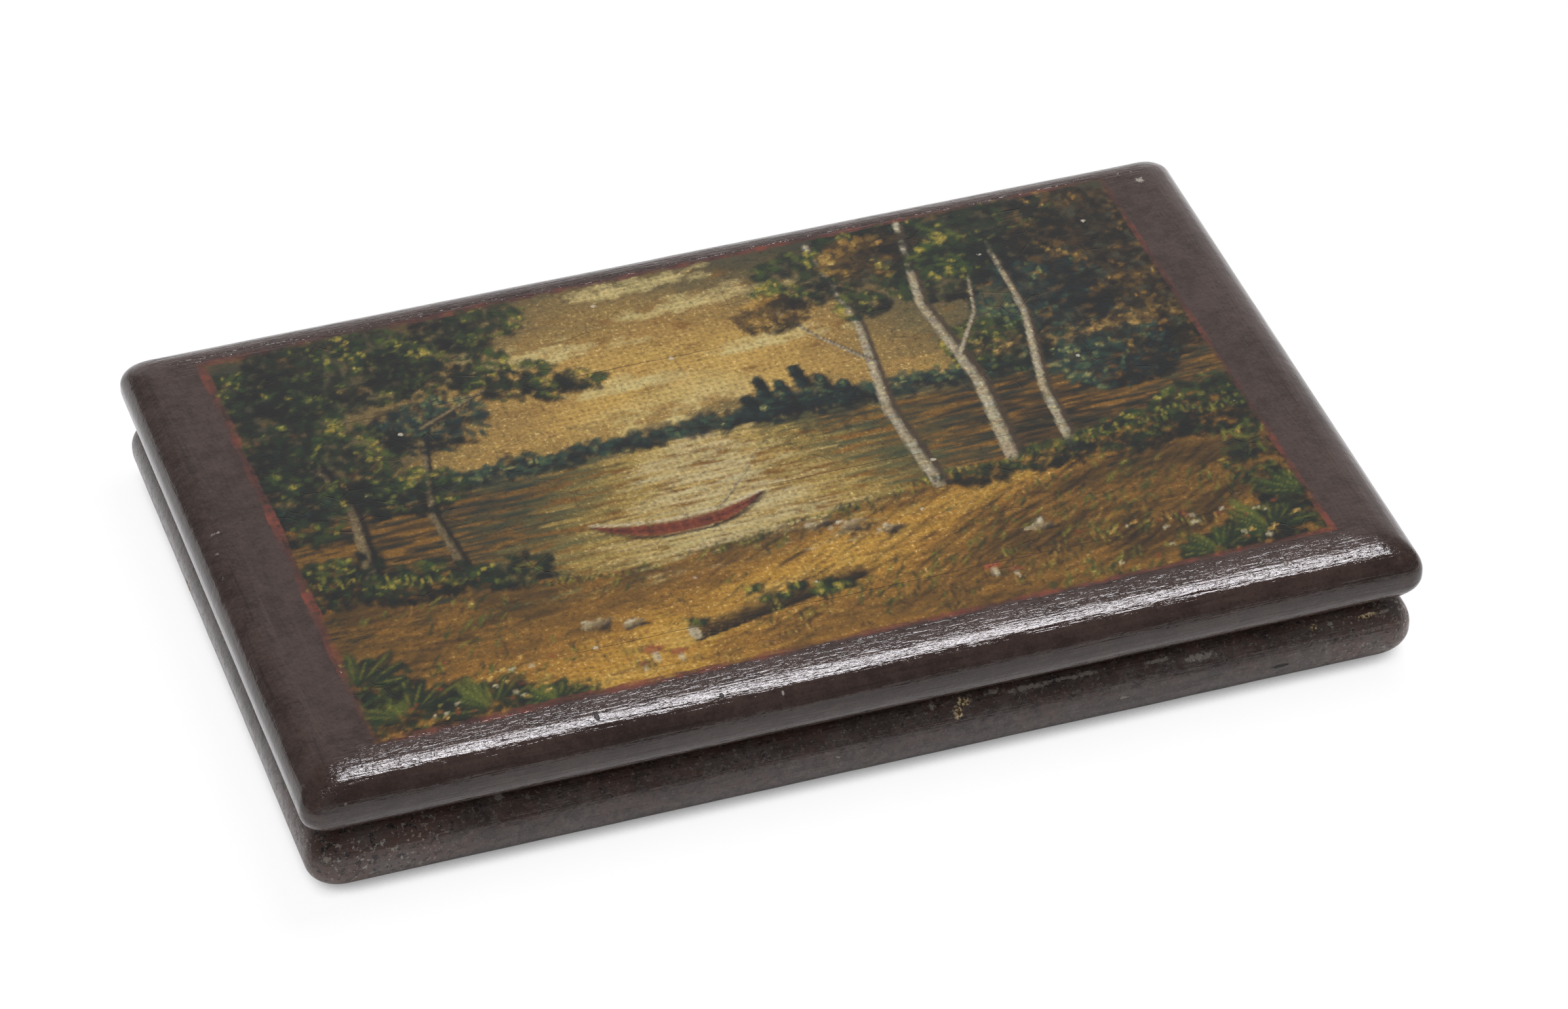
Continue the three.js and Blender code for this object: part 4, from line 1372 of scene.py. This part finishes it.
def set_out(tree, points, shape, turn=(0, 0, 0)):
    """One copy of a shape on each point."""
    inputs = {"Points": points, "Instance": shape, "Rotation": turn}
    return put(tree, "GeometryNodeInstanceOnPoints", inputs).outputs[0]


def realized(tree, copies):
    """Copies as plain geometry."""
    return put(tree, "GeometryNodeRealizeInstances", {0: copies}).outputs[0]


def end_tree(tree, result, shape, material):
    """The end of a tree: plain geometry with its material."""
    inputs = {0: realized(tree, shape), "Material": material}
    wire(tree, result, put(tree, "GeometryNodeSetMaterial", inputs).outputs[0])


def made_by(name, tree, sizes, points=(), bevel=0.0):
    """Runs a tree on an object and keeps the result as a plain mesh."""
    piece = mesh_piece(name, points, [])
    modifier = piece.modifiers.new(name, "NODES")
    modifier.node_group = tree
    for item in tree.interface.items_tree:
        if item.in_out == "INPUT" and item.name in sizes:
            modifier[item.identifier] = sizes[item.name]
    if bevel:
        edge = piece.modifiers.new("edges", "BEVEL")
        edge.width, edge.segments, edge.limit_method, edge.angle_limit = bevel, 2, "ANGLE", math.radians(40)
    settle(piece)
    return piece


print("helpers for Geometry Nodes ready")

# %% The tree of a hinge half
KNUCKLE_SIDES, HOLE_SIDES = 48, 32
TONGUE_MIDDLE = 0.55  # share of the way from the pin to the leaf
HOLE_DEPTH = 0.96  # share of the leaf's thickness
HINGE_INPUTS = [
    ("Length", "Float"), ("Knuckles", "Int"), ("First", "Int"), ("Knuckle Radius", "Float"),
    ("Knuckle Gap", "Float"), ("Leaf Depth", "Float"), ("Leaf Thickness", "Float"), ("Leaf Face", "Float"),
    ("Leaf Start", "Float"), ("Screw Place", "Float"), ("Screw Row", "Float"), ("Hole Radius", "Float"),
    ("Shank Radius", "Float"), ("Middle", "Vector"), ("Turn", "Float"), ("Brass", "Material"),
]


def knuckle_row(tree, size, level):
    """Every second knuckle along the pin, each with the tongue that joins it to the leaf."""
    pitch = size["Length"] / size["Knuckles"]
    long = pitch - size["Knuckle Gap"]
    first = vector(tree, size["Length"] * -0.5 + pitch * 0.5)
    places = {"Count": size["Knuckles"], "Start Location": first, "Offset": vector(tree, pitch)}
    row = put(tree, "GeometryNodeMeshLine", places).outputs[0]
    index = Number(tree, put(tree, "GeometryNodeInputIndex").outputs[0])
    other = (index + size["First"]) % 2.0
    kept = put(tree, "GeometryNodeDeleteGeometry", {"Geometry": row, "Selection": other}).outputs[0]
    roll = {"Vertices": KNUCKLE_SIDES, "Radius": size["Knuckle Radius"], "Depth": long}
    rod = put(tree, "GeometryNodeMeshCylinder", roll).outputs["Mesh"]
    tongue = block(tree, long, size["Leaf Start"], size["Leaf Thickness"])
    tongue = moved(tree, tongue, vector(tree, 0.0, size["Leaf Start"] * -TONGUE_MIDDLE, level))
    knuckle = joined(tree, moved(tree, rod, turn=(0, math.pi / 2, 0)), tongue)
    return realized(tree, set_out(tree, kept, knuckle))


def drilled_leaf(tree, size, level):
    """The flat leaf with its two countersunk holes."""
    deep = size["Leaf Depth"] - size["Leaf Start"]
    plate = block(tree, size["Length"], deep, size["Leaf Thickness"])
    back = (size["Leaf Depth"] + size["Leaf Start"]) * -0.5
    plate = moved(tree, plate, vector(tree, 0.0, back, level))
    hole = round_head(tree, HOLE_SIDES, size["Hole Radius"], size["Shank Radius"], size["Leaf Thickness"])
    bottom = size["Leaf Thickness"] * -HOLE_DEPTH - size["Leaf Face"]
    spots = [vector(tree, size["Screw Place"] * end, -size["Screw Row"], bottom) for end in (-1.0, 1.0)]
    return cut_out(tree, plate, *[moved(tree, hole, spot) for spot in spots])


def hinge_tree():
    tree, size, result = node_tree("butt_hinge_half", HINGE_INPUTS)
    level = size["Leaf Thickness"] * -0.5 - size["Leaf Face"]
    whole = joined(tree, drilled_leaf(tree, size, level), knuckle_row(tree, size, level))
    whole = moved(tree, whole, size["Middle"], vector(tree, 0.0, size["Turn"], 0.0))
    end_tree(tree, result, whole, size["Brass"])
    return tree


butt_hinge_half = hinge_tree()
print("hinge tree:", len(butt_hinge_half.nodes), "nodes")

# %% Aged brass
BRASS_BRIGHT, BRASS_DULL = (0.60, 0.40, 0.15, 1), (0.30, 0.175, 0.06, 1)
TARNISH = (0.075, 0.048, 0.026, 1)
BRASS_RELIEF = 0.015 * MM


def brass_effect():
    group, _, out = effect("aged_brass", [])
    place = box_place(group)
    tarnish = speckle(group, place, 480, 5.0, 0.65)
    drawn = speckle(group, place, 1.0, 2.0, 0.5, (120, 6000, 6000))
    colour = blend(group, spread(tarnish, 0.38, 0.66), BRASS_BRIGHT, BRASS_DULL)
    colour = blend(group, spread(tarnish, 0.62, 0.78, 0.0, 0.8), colour, TARNISH)
    give(group, out, colour, tarnish * 0.4 + 0.16, drawn * 0.5 + tarnish * 0.5)
    return group


def brass_finish():
    material, tree, shader = finish("aged_brass", Metallic=1.0)
    coat_shader(tree, shader, use(tree, brass_effect()), BRASS_RELIEF)
    return material


brass = brass_finish()
for side in ("left", "right"):
    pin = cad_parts[f"hinge_{side}_pin"]
    dress(pin, brass)
print("brass mixed, pins dressed")

# %% The four hinge halves
SCREW_END = 4.5 * MM
EDGE_BEVEL = 0.07 * MM
screw_place = hinge_length / 2 - SCREW_END
screw_row = (leaf_depth + KNUCKLE_RADIUS) / 2
hinge_sizes = {
    "Length": hinge_length, "Knuckles": 5, "Knuckle Radius": KNUCKLE_RADIUS, "Knuckle Gap": 0.2 * MM,
    "Leaf Depth": leaf_depth, "Leaf Thickness": LEAF_THICK, "Leaf Face": SEAM_GAP / 2, "Leaf Start": 1.6 * MM,
    "Screw Place": screw_place, "Screw Row": screw_row, "Hole Radius": 1.4 * MM, "Shank Radius": 0.65 * MM,
    "Brass": brass,
}
for side, middle in zip(("left", "right"), hinge_middles):
    for body, first, turn in (("base", 0, 0.0), ("lid", 1, math.pi)):
        sizes = {**hinge_sizes, "First": first, "Turn": turn, "Middle": (middle, hinge_y, hinge_z)}
        half = made_by(f"hinge_{side}_{body}", butt_hinge_half, sizes, bevel=EDGE_BEVEL)
        smooth(half, 40)
        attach(half, body)
        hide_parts(f"hinge_{side}_{body}_leaf")
        print(half.name, len(half.data.polygons), "faces")

# %% [markdown]
# ## Screws
# Four countersunk screws hold each half of the box to the hinges. They are the same screw set out at eight
# places and turned as the screwdriver left them, which is what Geometry Nodes do best: one head with its
# slot, placed on points, each with its own turn from a fixed seed.

# %% The tree of the screws
HEAD_SIDES = 40
SCREW_INPUTS = [
    ("Head Radius", "Float"), ("Shank Radius", "Float"), ("Head Depth", "Float"), ("Slot Width", "Float"),
    ("Slot Depth", "Float"), ("Facing", "Float"), ("Seed", "Int"), ("Brass", "Material"),
]


def screw_tree():
    tree, size, result = node_tree("countersunk_screws", SCREW_INPUTS)
    head = round_head(tree, HEAD_SIDES, size["Head Radius"], size["Shank Radius"], size["Head Depth"])
    head = moved(tree, head, vector(tree, 0.0, 0.0, -size["Head Depth"]))
    slot = block(tree, size["Head Radius"] * 3.0, size["Slot Width"], size["Slot Depth"] * 2.0)
    chance = {3: math.pi, "Seed": size["Seed"]}
    turn = put(tree, "FunctionNodeRandomValue", chance, data_type="FLOAT").outputs[1]
    turn = vector(tree, size["Facing"], 0.0, turn)
    whole = set_out(tree, size["Geometry"], cut_out(tree, head, slot), turn)
    end_tree(tree, result, whole, size["Brass"])
    return tree


countersunk_screws = screw_tree()
SCREW_SINK = 0.1 * MM
screw_sizes = {
    "Head Radius": 1.3 * MM, "Shank Radius": 0.6 * MM, "Head Depth": 0.7 * MM, "Slot Width": 0.35 * MM,
    "Slot Depth": 0.3 * MM, "Brass": brass,
}
screw_xs = [middle + end * screw_place for middle in hinge_middles for end in (-1, 1)]
for body, side, facing in (("base", -1, 0.0), ("lid", 1, math.pi)):
    face = hinge_z + side * (SEAM_GAP / 2 + SCREW_SINK)
    spots = [(x, hinge_y - screw_row, face) for x in screw_xs]
    sizes = {**screw_sizes, "Facing": facing, "Seed": 5 + side}
    screws = made_by(f"hinge_screws_{body}", countersunk_screws, sizes, spots)
    smooth(screws, 30)
    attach(screws, body)
    places = [f"hinge_{place}_{body}_screw_" for place in ("left", "right")]
    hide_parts(*[place + end for place in places for end in ("a", "b")])
    print(screws.name, len(screws.data.polygons), "faces")

# %% [markdown]
# ## Floor, light and camera
# The photograph was taken on a white table, under one large soft lamp that hangs above and behind the box: it
# draws the bright line along the front of the lid. A pale sweep of paper behind the box gives the soft sheen
# over the flat lid, and the room in front is dim, which keeps the front of the rims dark. The table has a
# window under the box, which the box covers, so that light from below shows the underside when the box is
# seen from there.

# %% The pale floor
PAPER_DARK, PAPER_LIGHT = (0.93, 0.93, 0.93, 1), (0.95, 0.95, 0.95, 1)
CONTACT = 5 * MM
PAPER_SHARE = 0.93


def floor_finish():
    """Pale paper that shows white, with a painted soft shadow where the box stands, and clear from below."""
    material, tree, shader = finish("pale_table", Roughness=0.9, Specular_IOR_Level=0.1)
    grain = speckle(tree, box_place(tree), 30, 3.0)
    wire(tree, shader.inputs["Base Color"], blend(tree, grain, PAPER_DARK, PAPER_LIGHT))
    ray = sockets(put(tree, "ShaderNodeLightPath"))
    mirrored = larger(ray["Is Glossy Ray"], ray["Is Transmission Ray"])
    seen = larger(ray["Is Camera Ray"], mirrored)
    # The paper's glow fades where the box stands close: a painted shadow, seen by the camera and in
    # reflections.
    shade = put(tree, "ShaderNodeAmbientOcclusion", {"Distance": CONTACT}, samples=8).outputs["AO"]
    painted_contact_shadow = Number(tree, shade)
    plain = spread(painted_contact_shadow, 0.12, 0.56, 0.3, 1.03)
    in_mirror = spread(painted_contact_shadow, 0.22, 0.8, 0.1, 1.16)
    glow = {"Color": (1.0, 0.99, 1.0, 1), "Strength": between(mirrored, plain, in_mirror)}
    paper = put(tree, "ShaderNodeEmission", glow).outputs[0]
    shares = {0: seen * PAPER_SHARE, 1: shader.outputs[0], 2: paper}
    lit = put(tree, "ShaderNodeMixShader", shares).outputs[0]
    below = put(tree, "ShaderNodeNewGeometry").outputs["Backfacing"]
    clear = put(tree, "ShaderNodeBsdfTransparent").outputs[0]
    both = put(tree, "ShaderNodeMixShader", {0: below, 1: lit, 2: clear}).outputs[0]
    wire(tree, tree.nodes["Material Output"].inputs["Surface"], both)
    return material


REACH = 4.0
BELOW_BOX = -0.05 * MM
WINDOW_INSET = 0.4 * MM


def table_with_window():
    """A wide table whose opening lies just inside the flat underside of the box."""
    window = half_outline(base_high, RIM_ROUND + WINDOW_INSET, FACE_CORNER)
    rings = [at_height(window, BELOW_BOX), at_height(outline(REACH, REACH, 0.1), BELOW_BOX)]
    return mesh_piece("table", np.concatenate(rings), strips(len(window), 2))


table = table_with_window()
dress(table, floor_finish())
print("table", 2 * REACH, "m wide")

# %% The lamp and the room
LAMP_PLACE, LAMP_SIZE, LAMP_RADIANCE = (0.70, 0.63, 2.4), (0.91, 0.96), 22.5
SWEEP_WAY = (0.208, 0.978, 0.0)


def hanging_lamp():
    """A rectangular soft lamp that faces down, and whose face has the radiance above."""
    data = bpy.data.lights.new("hanging_softbox", "AREA")
    data.shape, data.size, data.size_y = "RECTANGLE", *LAMP_SIZE
    data.energy = LAMP_RADIANCE * math.pi * LAMP_SIZE[0] * LAMP_SIZE[1]
    data.color = (1.0, 0.97, 1.01)
    lamp = bpy.data.objects.new("hanging_softbox", data)
    bpy.context.scene.collection.objects.link(lamp)
    lamp.location = LAMP_PLACE


def room():
    """A dim room with a pale sweep behind the box, and some light from below."""
    world = bpy.data.worlds.new("studio_room")
    bpy.context.scene.world = world
    world.use_nodes = True
    tree = world.node_tree
    towards = put(tree, "ShaderNodeTexCoord").outputs["Generated"]
    facing = put(tree, "ShaderNodeVectorMath", {0: towards, 1: SWEEP_WAY}, operation="DOT_PRODUCT")
    share = spread(Number(tree, facing.outputs["Value"]), 0.58, 0.82)
    height = split(tree, towards)[2]
    bright = spread(height, 0.66, 0.40, 0.60, 0.78) - 0.22
    dim = spread(height, -0.3, -0.05, 0.5, 0.22)
    background = tree.nodes["Background"].inputs
    background["Color"].default_value = (1.0, 0.985, 1.0, 1)
    wire(tree, background["Strength"], share * bright + dim)


hanging_lamp()
room()
print("one lamp and a dim room")

# %% The camera of the photograph
AZIMUTH, ELEVATION, DISTANCE = math.radians(-18.62), math.radians(38.76), 878.5 * MM
LOOK_AT = Vector((6.7 * MM, 10.0 * MM, 0))
SENSOR_WIDE, FOCAL_PIXELS, PHOTOGRAPH_WIDE = 36.0, 10000, 2392


def camera_of_photograph():
    level = math.cos(ELEVATION)
    back = Vector((math.sin(AZIMUTH) * level, -math.cos(AZIMUTH) * level, math.sin(ELEVATION)))
    data = bpy.data.cameras.new("photograph")
    data.sensor_width, data.lens = SENSOR_WIDE, SENSOR_WIDE * FOCAL_PIXELS / PHOTOGRAPH_WIDE
    data.clip_start, data.clip_end = 0.01, 50
    camera = bpy.data.objects.new("photograph", data)
    bpy.context.scene.collection.objects.link(camera)
    camera.location = LOOK_AT + back * DISTANCE
    camera.rotation_euler = back.to_track_quat("Z", "Y").to_euler()
    bpy.context.scene.camera = camera
    return camera


camera = camera_of_photograph()
bpy.context.scene.view_settings.view_transform = "Standard"
print("camera at", [round(v, 3) for v in camera.location])
